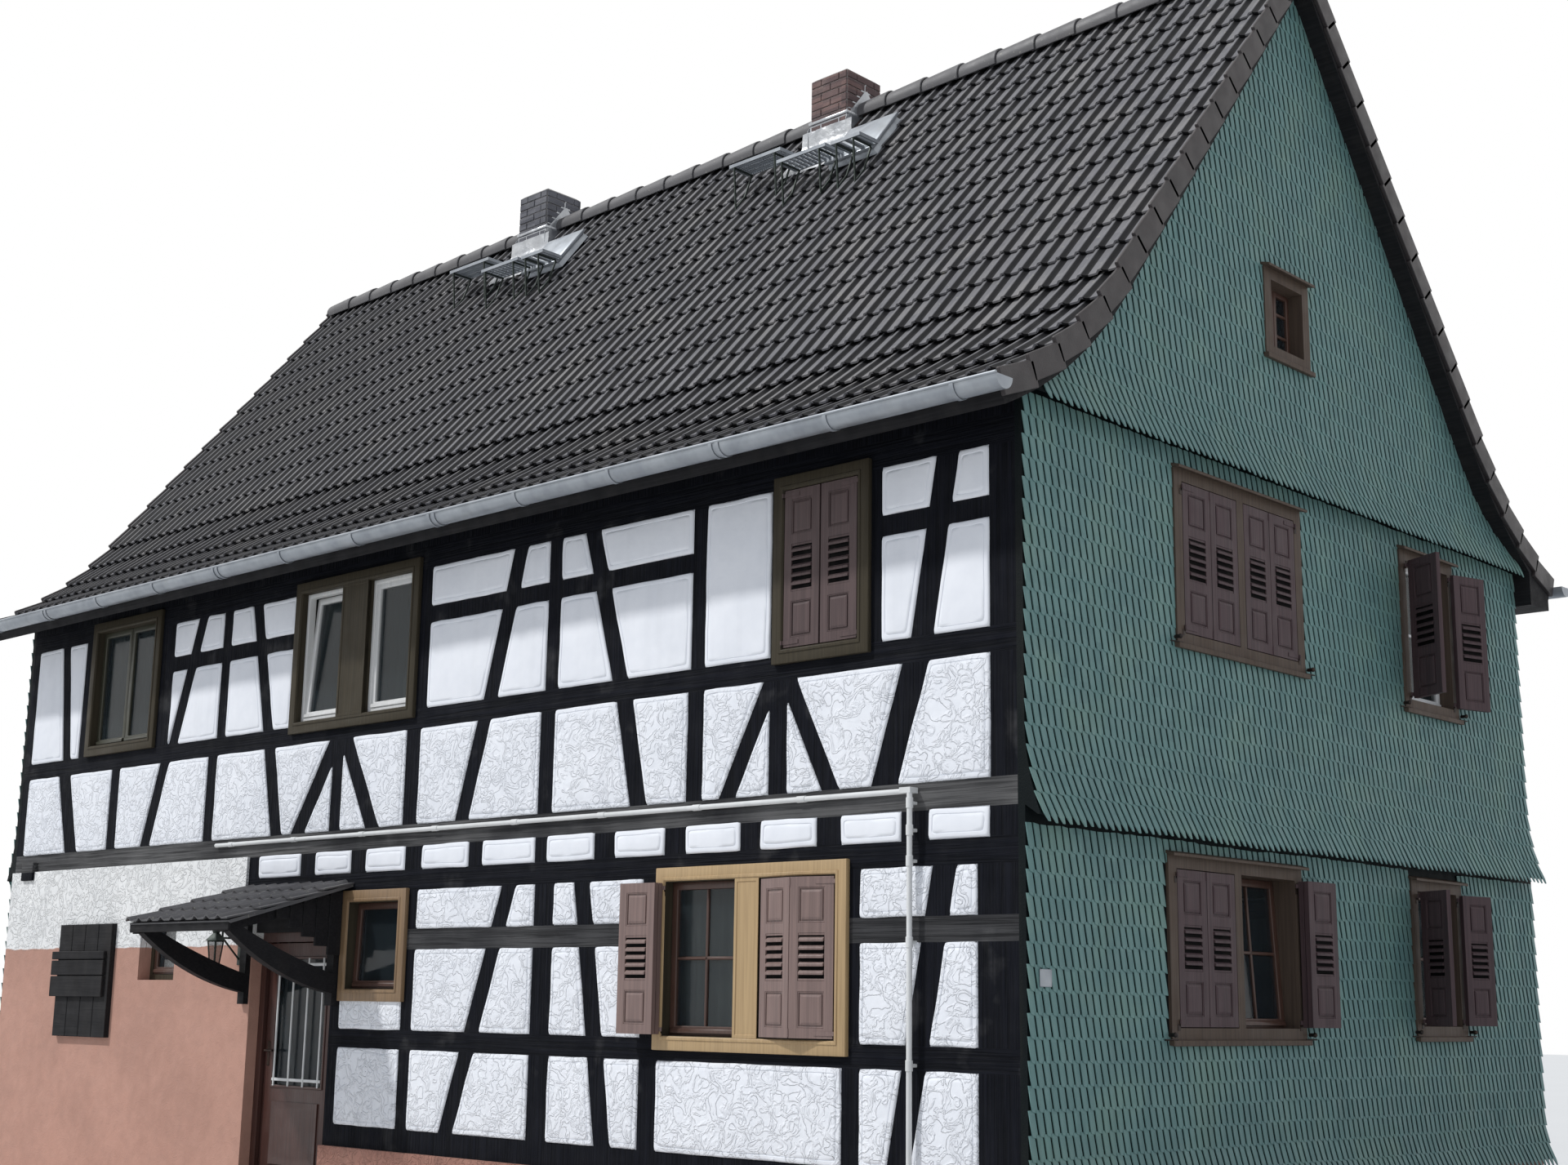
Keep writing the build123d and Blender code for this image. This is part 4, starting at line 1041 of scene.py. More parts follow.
@dataclass
class Roof:
    """Double-roll pantiles in courses on both slopes, with ridge caps and stepped verge flaps."""

    cover: float = 0.3
    courses: int = 18
    lap: float = 0.045
    roll_height: float = 0.022
    roll_share: float = 0.45
    thickness: float = 0.014
    cap_radius: float = 0.122
    cap_drop: float = 0.062
    caps: int = 31
    stacks: tuple[float, ...] = (-8.4, -4.335)
    stack_half: float = 0.21
    stack_front: float = 3.05
    exposure: float = field(init=False)

    def __post_init__(self) -> None:
        """Works out how much of each course shows."""
        self.exposure = SLOPE.length / self.courses

    def pattern(self) -> Piece:
        """Makes one tile, with two rolls and a turned-down front edge.

        Returns:
            The tile, flat with Y up the slope and its foot at the origin.
        """
        tall = self.exposure + self.lap
        tile = sheet("tile", 14, 1, (self.cover, tall), (self.cover / 2, tall / 2, 0))
        for vert in tile.data.vertices:
            share = (vert.co.x / self.cover * 2) % 1.0 if vert.co.x < self.cover - 1e-5 else 0.0
            roll = math.sin(math.pi * share / self.roll_share) ** 0.7 if 0 < share < self.roll_share else 0.0
            vert.co.z = roll * self.roll_height - self.roll_height
            vert.co.z += 0.026 * (1 - vert.co.y / tall)
        apply_modifier(tile, "SOLIDIFY", thickness=self.thickness, offset=-1)
        return tile

    def course(self, tile: Piece, run: float, gaps: list[Span]) -> list[Piece]:
        """Lays one course of tiles.

        Args:
            tile: The tile to copy.
            run: Distance of the course's foot up the slope.
            gaps: Parts of the course left without tiles.

        Returns:
            The course's stretches.
        """
        total = int(round((SLOPE.right - SLOPE.left - 0.06) / self.cover))
        start = SLOPE.left + 0.03
        step = (SLOPE.right - SLOPE.left - 0.06) / total
        free = [not any(low < start + (index + 0.5) * step < high for low, high in gaps) for index in range(total)]
        rows = []
        for first, count in stretches(free):
            row = copied(tile, Matrix.Scale(step / self.cover, 4, (1, 0, 0)), "course")
            repeat(row, (step, 0, 0), count)
            row.data.transform(SLOPE.place(start + first * step, run, -0.004))
            rows.append(row)
        return rows

    def build(self) -> None:
        """Tiles both slopes."""
        tile = self.pattern()
        rows = []
        gaps = [about(x, self.stack_half - 0.02) for x in self.stacks]
        for index in range(self.courses):
            run = index * self.exposure
            middle = SLOPE.at(run + 0.16)[0]
            rows += self.course(tile, run, gaps if middle > self.stack_front else [])
        front = joined("tiles_street", rows)
        rear = to_rear(front, "tiles_rear")
        ready(front, TILE, stands_for=["roof_tiles_front"], smooth=50)
        ready(rear, TILE, stands_for=["roof_tiles_rear"], smooth=50)
        discard(tile)
        self.ridge()
        self.verges()

    def ridge(self) -> None:
        """Lays overlapping half-round caps along the ridge, with mortar at both ends."""
        cap = half_pipe("cap", 20, self.cap_radius, 0.44, lambda face: face.calc_center_median().z < -0.02)
        for vert in cap.data.vertices:
            grow = 1.07 if vert.co.x > 0 else 0.93
            vert.co.y *= grow
            vert.co.z = vert.co.z * grow - (0.0 if vert.co.x > 0 else 0.004)
        apply_modifier(cap, "SOLIDIFY", thickness=0.016, offset=0)
        soften(cap, 0.004)
        middle, height = SLOPE.depth / 2, SLOPE.at(SLOPE.length)[1] - self.cap_drop
        step = (SLOPE.right - SLOPE.left - 0.04) / self.caps
        caps = []
        for index in range(self.caps):
            x = SLOPE.left + 0.02 + (index + 0.5) * step
            if all(abs(x - stack) >= self.stack_half + 0.12 for stack in self.stacks):
                lift = 0.004 * noise.noise(Vector((x * 3, 0, 0)))
                caps.append(copied(cap, Matrix.Translation((x, middle, height + lift)), "cap"))
        discard(cap)
        ready(joined("ridge_caps", caps), CAP, stands_for=["ridge_tiles"], smooth=40)
        discs = [rod("end", (x - 0.015, middle, height), (x + 0.015, middle, height), self.cap_radius - 0.01, 20)
                 for x in (SLOPE.left + 0.05, SLOPE.right - 0.05)]
        ready(joined("ridge_ends", discs), MORTAR)

    def verges(self) -> None:
        """Hangs a stepped flap on the end of each course."""
        flap = block("flap", (-0.03, 0.0), (0.0, self.exposure + 0.03), (-0.15, 0.012))
        soften(shape(flap, facing(Z, 1), (0.006, 0), move=(0, 0, 0.008)), 0.004)
        tilt = Matrix.Rotation(-0.075, 4, "X")
        flaps = [copied(flap, SLOPE.place(SLOPE.right, index * self.exposure, 0.016) @ tilt, "flap")
                 for index in range(self.courses)]
        discard(flap)
        street = joined("verge_street_right", flaps)
        rear = to_rear(street, "verge_rear_right")
        far = [to_left(piece, piece.name.replace("right", "left")) for piece in (street, rear)]
        ready(joined("verge_flaps", [street, rear] + far), VERGE, stands_for=["verge_tiles"], smooth=30)


@dataclass
class Tier:
    """One storey's apron of shingles, with a foot that sweeps outwards."""

    name: str
    bottom: float
    top: float
    reach: float
    rise: float

    def face(self, z: float) -> float:
        """Gives how far the cladding stands out from the gable's plane."""
        share = max(0.0, 1 - (z - self.bottom) / self.rise)
        return 0.05 + self.reach * share ** 2.1


WINDOWS = {
    "lower_pair": ((1.42, 3.03), (1.42, 2.56)),
    "lower_single": ((4.6, 5.4), (1.44, 2.58)),
    "upper_pair": ((1.59, 3.19), (3.87, 5.045)),
    "upper_single": ((4.66, 5.53), (3.81, 5.045)),
    "attic": ((2.82, 3.43), (6.09, 6.76)),
}


@dataclass
class Shingles:
    """Narrow wooden shingles on both gables, each one leaning a little sideways over the next."""

    width: float = 0.07
    exposure: float = 0.131
    lap: float = 0.008
    thickness: float = 0.006
    joint: float = 0.0055
    lean: float = 0.03
    under_roof: float = 0.13
    clear_of_roof: float = 5.0
    tiers: tuple[Tier, ...] = (
        Tier("ground", 0.535, 2.70, 0.06, 0.32),
        Tier("upper", 2.68, 5.19, 0.105, 0.6),
        Tier("attic", 5.17, 9.3, 0.105, 0.6),
    )

    def pattern(self, tip: bool) -> Piece:
        """Makes one shingle, upright at the origin with its foot at zero.

        Args:
            tip: Whether its foot ends in a rounded point.

        Returns:
            The shingle, with its face along +X.
        """
        tall = self.exposure + self.lap
        wide = self.width - 2 * self.joint
        shingle = block("shingle", (0.0, self.thickness), (self.joint, self.joint + wide), (0.0, tall))
        if tip:
            with editing(shingle):
                pick(shingle, facing(Z, -1))
                bpy.ops.mesh.subdivide(number_cuts=2)
        low = -0.05 if tip else -0.012
        for vert in shingle.data.vertices:
            share = (vert.co.y - self.joint) / wide
            if vert.co.z < 0.01:
                vert.co.z += low * math.sin(math.pi * share) if tip else low * share
                vert.co.x += 0.002
            vert.co.x += 0.006 * (1 - share)
            vert.co.y -= self.lean * (vert.co.z / tall - 0.5)
        return shingle

    def free(self, y: float, z: float) -> bool:
        """Says whether a shingle has its place outside the windows and under the roof.

        Args:
            y: The shingle's middle.
            z: The middle of its height.

        Returns:
            True if it has.
        """
        for wide, tall in WINDOWS.values():
            if wide[0] + 0.01 < y < wide[1] - 0.01 and tall[0] + 0.01 < z < tall[1] - 0.01:
                return False
        if z < self.clear_of_roof:
            return True
        side = min(y, SLOPE.depth - y)
        _, middle_y, middle_z = SLOPE.curve
        reach = SLOPE.radius + self.under_roof
        if side < middle_y + reach * math.sin(SLOPE.pitch):
            roof = middle_z - math.sqrt(max(0.0, reach ** 2 - (side - middle_y) ** 2))
        else:
            fall = (SLOPE.depth / 2 - side) * math.tan(SLOPE.pitch)
            roof = SLOPE.at(SLOPE.length)[1] - self.under_roof / math.cos(SLOPE.pitch) - fall
        return z < roof - 0.02

    def row(self, tier: Tier, z: float, shingle: Piece) -> list[Piece]:
        """Lays one row of shingles.

        Args:
            tier: The tier that it belongs to.
            z: The row's foot.
            shingle: The shingle to copy.

        Returns:
            The row's stretches.
        """
        count = int(round(SLOPE.depth / self.width))
        step = SLOPE.depth / count
        free = [self.free((index + 0.5) * step, z + self.exposure / 2) for index in range(count)]
        lean = math.atan2(tier.face(z) - tier.face(z + self.exposure), self.exposure)
        turn = Matrix.Rotation(-lean, 4, "Y")
        rows = []
        for first, run in stretches(free):
            row = copied(shingle, Matrix.Translation((tier.face(z), first * step, z)) @ turn, "row")
            repeat(row, (0, step, 0), run)
            rows.append(row)
        return rows

    def build(self) -> None:
        """Covers both gables tier by tier."""
        plain = self.pattern(False)
        pointed = self.pattern(True)
        for tier in self.tiers:
            rows = []
            count = int((tier.top - tier.bottom) / self.exposure)
            for index in range(count):
                rows += self.row(tier, tier.bottom + index * self.exposure, plain if index else pointed)
            right = joined("shingles_right_" + tier.name, rows)
            self.waver(right)
            left = to_left(right, "shingles_left_" + tier.name)
            ready(right, SHINGLE)
            ready(left, SHINGLE)
        discard(plain, pointed)

    def waver(self, piece: Piece) -> None:
        """Lets the rows run a little unevenly, as hand-nailed shingles do.

        Args:
            piece: The rows of a tier.
        """
        for vert in piece.data.vertices:
            drift = noise.noise(Vector((0.0, vert.co.y * 0.9, vert.co.z * 0.9)))
            cell = noise.cell(Vector((7.0, vert.co.y / self.width, vert.co.z / self.exposure)))
            vert.co.z += 0.012 * drift + 0.004 * (cell - 0.5)
            vert.co.x += 0.002 * noise.noise(Vector((3.0, vert.co.y * 5, vert.co.z * 5)))


@dataclass
class Panels:
    """Plaster panels between the timbers, cushioned, with a fine line cut round each.

    The rings lead from a panel's outline to its middle, each with its distance from the outline and its height.
    """

    rings: tuple[Span, ...] = (
        (0.0, -0.002), (0.002, 0.010), (0.007, 0.0155), (0.014, 0.018), (0.030, 0.0185), (0.0325, 0.0145),
        (0.0355, 0.0145), (0.038, 0.0185), (0.056, 0.021),
    )
    corner_cut: float = 0.026
    short: float = 0.1
    shortest: float = 0.07
    thin: float = 0.013
    slim: float = 0.037
    waver: float = 0.007

    def outlines(self, node: str, outward: float) -> list[list[Vector]]:
        """Reads the outlines of a wall's plain panels from the frame.

        Args:
            node: The node with the plain panels.
            outward: -1 or 1 for the side that shows.

        Returns:
            Each panel's corners in order, in working metres.
        """
        mesh = bmesh.new()
        mesh.from_mesh(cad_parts[node].data)
        bmesh.ops.remove_doubles(mesh, verts=mesh.verts, dist=0.00005)
        mesh.verts.index_update()
        mesh.verts.ensure_lookup_table()
        front = list(filter(facing(Y, outward), mesh.faces))
        shown = set(front)
        after: dict[int, list[int]] = {}
        for face in front:
            for loop in face.loops:
                if not any(other.face in shown and other.face is not face for other in loop.edge.link_loops):
                    after.setdefault(loop.vert.index, []).append(loop.link_loop_next.vert.index)
        found = []
        while after:
            first = min(after)
            outline, index = [], -1
            while index != first:
                index = first if index < 0 else index
                here = mesh.verts[index].co - CORNER
                before = here - outline[-1] if outline else Vector((1, 0, 0))
                turns = {end: self.turned(before, mesh.verts[end].co - CORNER - here, outward) for end in after[index]}
                outline.append(here)
                best = max(turns, key=turns.get)
                after[index].remove(best)
                if not after[index]:
                    del after[index]
                index = best
            found.append(outline)
        mesh.free()
        return [self.corners(outline) for outline in found if len(outline) > 2]

    def turned(self, before: Vector, ahead: Vector, outward: float) -> float:
        """Gives how far an outline turns to its left, so that panels that meet at a point stay apart."""
        return math.atan2((before.z * ahead.x - before.x * ahead.z) * outward, before.x * ahead.x + before.z * ahead.z)

    def corners(self, outline: list[Vector]) -> list[Vector]:
        """Leaves out the points that lie on a straight side or close to another corner.

        Args:
            outline: A panel's points in order.

        Returns:
            Its corners in order.
        """
        kept = []
        for here, ahead in followed(outline):
            before = here - (kept[-1] if kept else outline[-1])
            if before.length > self.shortest and (ahead - here).length > 1e-5 and before.angle(ahead - here) > 0.02:
                kept.append(here)
        if len(kept) > 3 and (kept[0] - kept[-1]).length < self.shortest:
            kept.pop()
        return kept

    def hidden(self, corners: list[Vector]) -> bool:
        """Says whether an outline is only a thin strip behind a window casing."""
        mean = abs(self.area(corners)) / sum((one - two).length for one, two in followed(corners))
        return mean < self.thin or mean < self.slim and len(corners) > 5

    def rounded(self, corners: list[Vector], pieces: list[int], cut: float) -> list[Vector]:
        """Rounds a ring's corners and cuts its sides into short pieces.

        Args:
            corners: The ring's sharp corners in order.
            pieces: The count of pieces of each side.
            cut: How far from a corner its rounding starts.

        Returns:
            The ring's points in order, as many for every ring of a panel.
        """
        cuts = []
        for before, here, ahead in between(corners):
            near = min(cut, 0.3 * (before - here).length, 0.3 * (ahead - here).length)
            enter, leave = (here + (other - here).normalized() * near for other in (before, ahead))
            cuts.append((enter, (enter + leave) * 0.2 + here * 0.6, leave))
        points = []
        for ((enter, middle, leave), (following, _, _)), count in zip(followed(cuts), pieces):
            points += [enter, middle, leave]
            points += [leave.lerp(following, part / count) for part in range(1, count)]
        return points

    def inward(self, corners: list[Vector], outward: float) -> list[Vector]:
        """Gives the way into the panel at each corner, for a border of even width.

        Args:
            corners: The panel's corners in order.
            outward: -1 or 1 for the side that shows.

        Returns:
            A direction for each corner, as long as its border is wide there.
        """
        side = Vector((0, outward, 0))
        ways = []
        for before, here, ahead in between(corners):
            one = side.cross((here - before).normalized())
            two = side.cross((ahead - here).normalized())
            ways.append((one + two) / max(0.25, 1 + one.dot(two)))
        return ways

    def sway(self, point: Vector) -> Vector:
        """Lets the outlines run a little unevenly."""
        where = point * 4.5
        return Vector((noise.noise(where), 0, noise.noise(where + Vector((9.0, 0, 0))))) * self.waver

    def border(self, mesh: bmesh.types.BMesh, corners: list[Vector], outward: float) -> list[bmesh.types.BMVert]:
        """Makes the cushioned border along one outline.

        Args:
            mesh: The mesh to add to.
            corners: The outline's corners, of a panel or of an opening in one.
            outward: -1 or 1 for the side that shows.

        Returns:
            The border's inner ring.
        """
        ways = self.inward(corners, outward)
        sides = list(followed(corners))
        around = sum((one - two).length for one, two in sides)
        room = min(1.0, 1.1 * abs(self.area(corners)) / around / self.rings[-1][0])
        pieces = [max(1, int((one - two).length / self.short)) for one, two in sides]
        sway = [self.sway(point) for point in self.rounded(corners, pieces, self.corner_cut)]
        last: list[bmesh.types.BMVert] = []
        for inset, rise in self.rings:
            out = Vector((0, outward * rise * (0.6 + 0.4 * room), 0))
            moved = [here + way * inset * room + out for here, way in zip(corners, ways)]
            points = self.rounded(moved, pieces, self.corner_cut * (0.4 + 0.6 * room))
            ring = [mesh.verts.new(point + move) for point, move in zip(points, sway)]
            if last:
                for four in zip(last, last[1:] + last[:1], ring[1:] + ring[:1], ring):
                    mesh.faces.new(four)
            last = ring
        return last

    def area(self, corners: list[Vector]) -> float:
        """Gives an outline's area, above zero if it runs anticlockwise seen from the street."""
        return sum(one.x * two.z - two.x * one.z for one, two in followed(corners)) / 2

    def build(self, node: str, name: str, outward: float) -> None:
        """Makes the panels' faces over the plain panels of one wall.

        Args:
            node: The node with the plain panels.
            name: The new piece's name.
            outward: -1 for the street front, 1 for the rear.
        """
        mesh = bmesh.new()
        found = self.outlines(node, outward)
        found = [corners for corners in found if len(corners) > 2 and not self.hidden(corners)]
        panels = [corners for corners in found if self.area(corners) * outward < 0]
        openings = [corners for corners in found if self.area(corners) * outward > 0]
        log.info("%s: %d panels, %d openings in them", node, len(panels), len(openings))
        for corners in sorted(panels, key=lambda one: abs(self.area(one))):
            low_x, high_x = min(one.x for one in corners), max(one.x for one in corners)
            low_z, high_z = min(one.z for one in corners), max(one.z for one in corners)
            inside = [one for one in openings if low_x < one[0].x < high_x and low_z < one[0].z < high_z]
            openings = [one for one in openings if one not in inside]
            rings = [self.border(mesh, one, outward) for one in [corners] + inside]
            if not inside:
                mesh.faces.new(rings[0])
                continue
            edges = [mesh.edges.get(pair) for ring in rings for pair in followed(ring)]
            filled = bmesh.ops.triangle_fill(mesh, use_beauty=True, edges=edges, normal=(0, outward, 0))
            for face in filled["geom"]:
                if isinstance(face, bmesh.types.BMFace) and face.normal.y * outward < 0:
                    face.normal_flip()
        made = bpy.data.meshes.new(name)
        mesh.to_mesh(made)
        mesh.free()
        ready(added(name, made), PLASTER, smooth=50)


class Wall(Enum):
    """The side of the house that a window or shutter belongs to."""

    STREET = "street"
    GABLE = "gable"
    REAR = "rear"


@dataclass
class Window:
    """A sash in a clear opening, with its bars, pane and curtain."""

    name: str
    across: Span
    tall: Span
    wall: Wall
    finish: Finish = SASH_WHITE
    leaves: int = 1
    upright_bars: int = 0
    level_bars: int = 0
    curtain: bool = False
    tilt: float = 0.0
    bar: float = 0.05
    deep: float = 0.05
    set_back: float = 0.034
    rim: float = 0.0
    glazing: float = 0.011
    lap: float = 0.004

    def turn(self) -> Matrix:
        """Gives the move from a street window's place at X to this wall's place.

        Returns:
            The move.
        """
        if self.wall is Wall.GABLE:
            return Matrix.Rotation(math.pi / 2, 4, "Z")
        if self.wall is Wall.REAR:
            return mirror(Y, SLOPE.depth / 2)
        return Matrix.Identity(4)

    def leaf(self, low: float, high: float) -> list[Piece]:
        """Makes one leaf, in the street window's place.

        Args:
            low: Its left side.
            high: Its right side.

        Returns:
            Its frame with bars, and its pane.
        """
        outer = (low, high)
        low, high = within(outer, self.rim * 0.75)
        z0, z1 = within(self.tall, self.rim * 0.75)
        y0, y1 = self.set_back, self.set_back + self.deep
        parts = [soften(holed("sash", (low, high), (y0, y1), (z0, z1), self.bar, foot=0.012), 0.006, 2)]
        x0, x1 = within((low, high), self.bar - self.lap)
        for index in range(self.upright_bars):
            x = x0 + (x1 - x0) * (index + 1) / (self.upright_bars + 1)
            parts.append(self.glazing_bar(about(x, self.glazing), within((z0, z1), self.bar)))
        for index in range(self.level_bars):
            z = z0 + (z1 - z0) * (index + 1) / (self.level_bars + 1)
            parts.append(self.glazing_bar((x0, x1), about(z, self.glazing)))
        drip = block("drip", within((low, high), 0.02), (y0 - 0.018, y0 + 0.004), (z0 + 0.02, z0 + 0.05))
        parts.append(soften(shape(drip, facing(Y, -1), move=(0, 0, -0.006)), 0.004))
        whole = joined("sash_" + self.name, parts)
        pane = block("pane", (x0, x1), about((y0 + y1) / 2, 0.004), within((z0, z1), self.bar - self.lap))
        soften(pane, 0.002)
        if self.tilt:
            hang = Matrix.Translation((0, y0, z0)) @ Matrix.Rotation(-self.tilt, 4, "X")
            hang = hang @ Matrix.Translation((0, -y0, -z0))
            whole.data.transform(hang)
            pane.data.transform(hang)
        if self.rim:
            fixed = soften(holed("rim", outer, (y0 - 0.012, y1), self.tall, self.rim), 0.005, 2)
            whole = joined("sash_" + self.name, [whole, fixed])
        return [whole, pane]

    def glazing_bar(self, x: Span, z: Span) -> Piece:
        """Makes a thin bar over the pane, from its left and right, and its bottom and top."""
        return soften(block("bar", x, (self.set_back + 0.008, self.set_back + 0.034), z), 0.005)

    def hanging(self) -> Piece:
        """Makes a curtain in loose folds behind the panes.

        Returns:
            The curtain.
        """
        (low, high), (foot, top) = self.across, self.tall
        middle = ((low + high) / 2, 0.115 + self.tilt, (foot + top) / 2)
        cloth = sheet("curtain", 60, 6, (high - low, top - foot), middle, upright=True)
        for vert in cloth.data.vertices:
            phase = vert.co.x * 62 + 1.5 * noise.noise(Vector((vert.co.x * 3, 0, 0)))
            vert.co.y += 0.014 * math.sin(phase) * (1.1 - 0.4 * (vert.co.z - foot))
        apply_modifier(cloth, "SOLIDIFY", thickness=0.002)
        return cloth

    def build(self) -> dict[str, list[Piece]]:
        """Makes the window's leaves and moves them to its wall.

        Returns:
            The frames, panes and curtains.
        """
        low, high = self.across
        step = (high - low) / self.leaves
        made: dict[str, list[Piece]] = {"sash": [], "pane": [], "curtain": []}
        for index in range(self.leaves):
            ring, pane = self.leaf(low + index * step + 0.001, low + (index + 1) * step - 0.001)
            made["sash"].append(ring)
            made["pane"].append(pane)
        if self.curtain:
            made["curtain"].append(self.hanging())
        move = self.turn()
        for pieces in made.values():
            for piece in pieces:
                piece.data.transform(move)
                if move.determinant() < 0:
                    piece.data.flip_normals()
        return made


@dataclass
class Leaf:
    """The mouldings of a shutter leaf: raised panels and louvre slats, drawn about its hinge."""

    width: float
    height: float
    stile: float = 0.062
    front: float = -0.008
    back: float = 0.042
    start: float = 0.011

    def clear_width(self) -> Span:
        """Gives the left and right of the fields between the stiles."""
        return self.start + self.stile, self.start + self.width - self.stile

    def faces(self) -> tuple[Span, Span]:
        """Gives Y of the leaf's two faces, each with the way that it looks."""
        return (self.front, 1.0), (-self.back, -1.0)

    def fields(self) -> list[Span]:
        """Gives the bottom and top of the three sunk fields.

        Returns:
            The fields from foot to head.
        """
        unit = (self.height - 4 * self.stile) / 4
        low = self.stile
        spans = []
        for share in (1.2, 1.6, 1.2):
            spans.append((low, low + unit * share))
            low += unit * share + self.stile
        return spans

    def raised(self, face: float, outward: float, tall: Span) -> list[Piece]:
        """Makes a raised panel with a bead round it on one face of the leaf.

        Args:
            face: Y of the leaf's face.
            outward: 1 or -1 for the side that the face looks to.
            tall: Bottom and top of the field.

        Returns:
            The panel and its bead.
        """
        x = self.clear_width()
        floor = face - outward * 0.011
        panel = block("panel", within(x, 0.018), (floor, face - outward * 0.003), within(tall, 0.018))
        shape(panel, facing(Y, outward), (0.014, 0), move=(0, outward * 0.004, 0))
        return [panel, soften(holed("bead", x, (floor, face - outward * 0.002), tall, 0.008), 0.002)]

    def gaps(self) -> Piece:
        """Makes a near-black plate behind both louvre fields, painted shade in the gaps between the slats, hung as the
        mouldings are.

        Returns:
            The backs.
        """
        x = within(self.clear_width(), 0.004)
        backs = []
        for face, outward in self.faces():
            floor = face - outward * 0.008
            # A near-black plate behind the slats, as painted shade in the louvre gaps.
            back = block("gap", x, about(floor, 0.001), within(self.fields()[1], 0.012))
            backs.append(shape(back, facing(Y, outward), (0.002, 0)))
        return joined("gaps", backs)

    def louvres(self, face: float, outward: float, tall: Span, count: int = 5) -> list[Piece]:
        """Makes the slats in the middle field, with gaps between them.

        Args:
            face: Y of the leaf's face.
            outward: 1 or -1 for the side that the face looks to.
            tall: Bottom and top of the field.
            count: Number of gaps.

        Returns:
            The slats.
        """
        x = self.clear_width()
        step = (tall[1] - tall[0] - 0.04) / count
        slats = []
        floor = face - outward * 0.009
        for index in range(count):
            low = tall[0] + 0.02 + index * step
            tall_slat = (low + step * 0.42, low + step * 0.94)
            slat = block("slat", within(x, 0.006), (floor, face + outward * 0.008), tall_slat)
            shape(slat, facing(Y, outward), move=(0, 0, -step * 0.2), grow=(1, 1, 0.6))
            slats.append(soften(slat, 0.003, 2))
        for span in ((tall[0], tall[0] + 0.014), (tall[1] - 0.014, tall[1])):
            slats.append(soften(block("edge", x, (floor, face - outward * 0.002), span), 0.002))
        return slats

    def build(self) -> Piece:
        """Makes the mouldings of both faces.

        Returns:
            The mouldings, hung on the Z axis and pointing along X.
        """
        parts = []
        low, middle, high = self.fields()
        for face, outward in self.faces():
            parts += self.raised(face, outward, low) + self.raised(face, outward, high)
            parts += self.louvres(face, outward, middle)
        return joined("leaf", parts)


class Fold(Enum):
    """How a leaf sits on its folding pair: as the first one, flat on the first, or turned at a joint with it."""

    FIRST = "first"
    STACKED = "stacked"
    JOINED = "joined"


@dataclass
class Hung:
    """Where one shutter leaf hangs."""

    name: str
    across: Span
    tall: Span
    wall: Wall
    on_left: bool
    angle: float
    body: str = "house"
    gap: float = 0.014
    fold: Fold = Fold.FIRST
    finish: Finish = SHUTTER_GABLE

    def size(self) -> tuple[float, float]:
        """Gives the leaf's width and height."""
        width = (self.across[1] - self.across[0] - 0.012 - self.gap) / 2
        return round(width, 5), round(self.tall[1] - self.tall[0] - 0.012, 5)

    def move(self) -> Matrix:
        """Gives the leaf's place and turn.

        Returns:
            The move.
        """
        low, high = self.across
        foot = self.tall[0] + 0.006
        turned = Matrix.Rotation(math.radians(self.angle), 4, "Z")
        if self.fold is Fold.STACKED:
            turned = turned @ Matrix.Translation((0, -0.04, 0))
        if self.fold is Fold.JOINED:
            width = self.size()[0]
            joint = Matrix.Translation((0.011 + width + 0.003, -0.008, 0))
            fold = Matrix.Rotation(math.radians(-2 * self.angle), 4, "Z")
            turned = turned @ joint @ fold @ Matrix.Translation((0.003 - 0.011, 0.008, 0))
        middle = (low + high) / 2
        if self.wall is Wall.GABLE:
            move = Matrix.Translation((0.08, high + 0.005, foot)) @ Matrix.Rotation(-math.pi / 2, 4, "Z") @ turned
            swap = mirror(Y, middle)
        else:
            move = Matrix.Translation((high + 0.005, -0.036, foot)) @ Matrix.Rotation(math.pi, 4, "Z") @ turned
            swap = mirror(X, middle)
        return swap @ move if self.on_left else move


UP_SINGLE = ((4.75, 5.44), (3.9, 4.955))
LOW_SINGLE = ((4.69, 5.31), (1.53, 2.49))
UP_PAIR = (((1.68, 2.35), (3.96, 4.955)), ((2.43, 3.1), (3.96, 4.955)))
LOW_PAIR = (((1.51, 2.185), (1.51, 2.47)), ((2.265, 2.94), (1.51, 2.47)))
STREET_RIGHT = ((-1.83, -1.2), (3.83, 4.87))
GROUND = (((-2.85, -2.21), (1.41, 2.39)), ((-2.0, -1.36), (1.41, 2.39)))


def folded(title: str, places: Iterable[tuple], wall: Wall, finish: Finish) -> Iterator[Hung]:
    """Gives both leaves of each folding shutter.

    Args:
        title: The start of their names.
        places: The opening, the side and the angle of each shutter.
        wall: Their wall.
        finish: Their finish.

    Yields:
        The leaves.
    """
    for number, (place, on_left, angle) in enumerate(places):
        for letter, fold in (("a", Fold.FIRST), ("b", Fold.STACKED if angle > 90 else Fold.JOINED)):
            yield Hung(f"{title}_{number}{letter}", *place, wall, on_left, angle, gap=0.006, fold=fold, finish=finish)


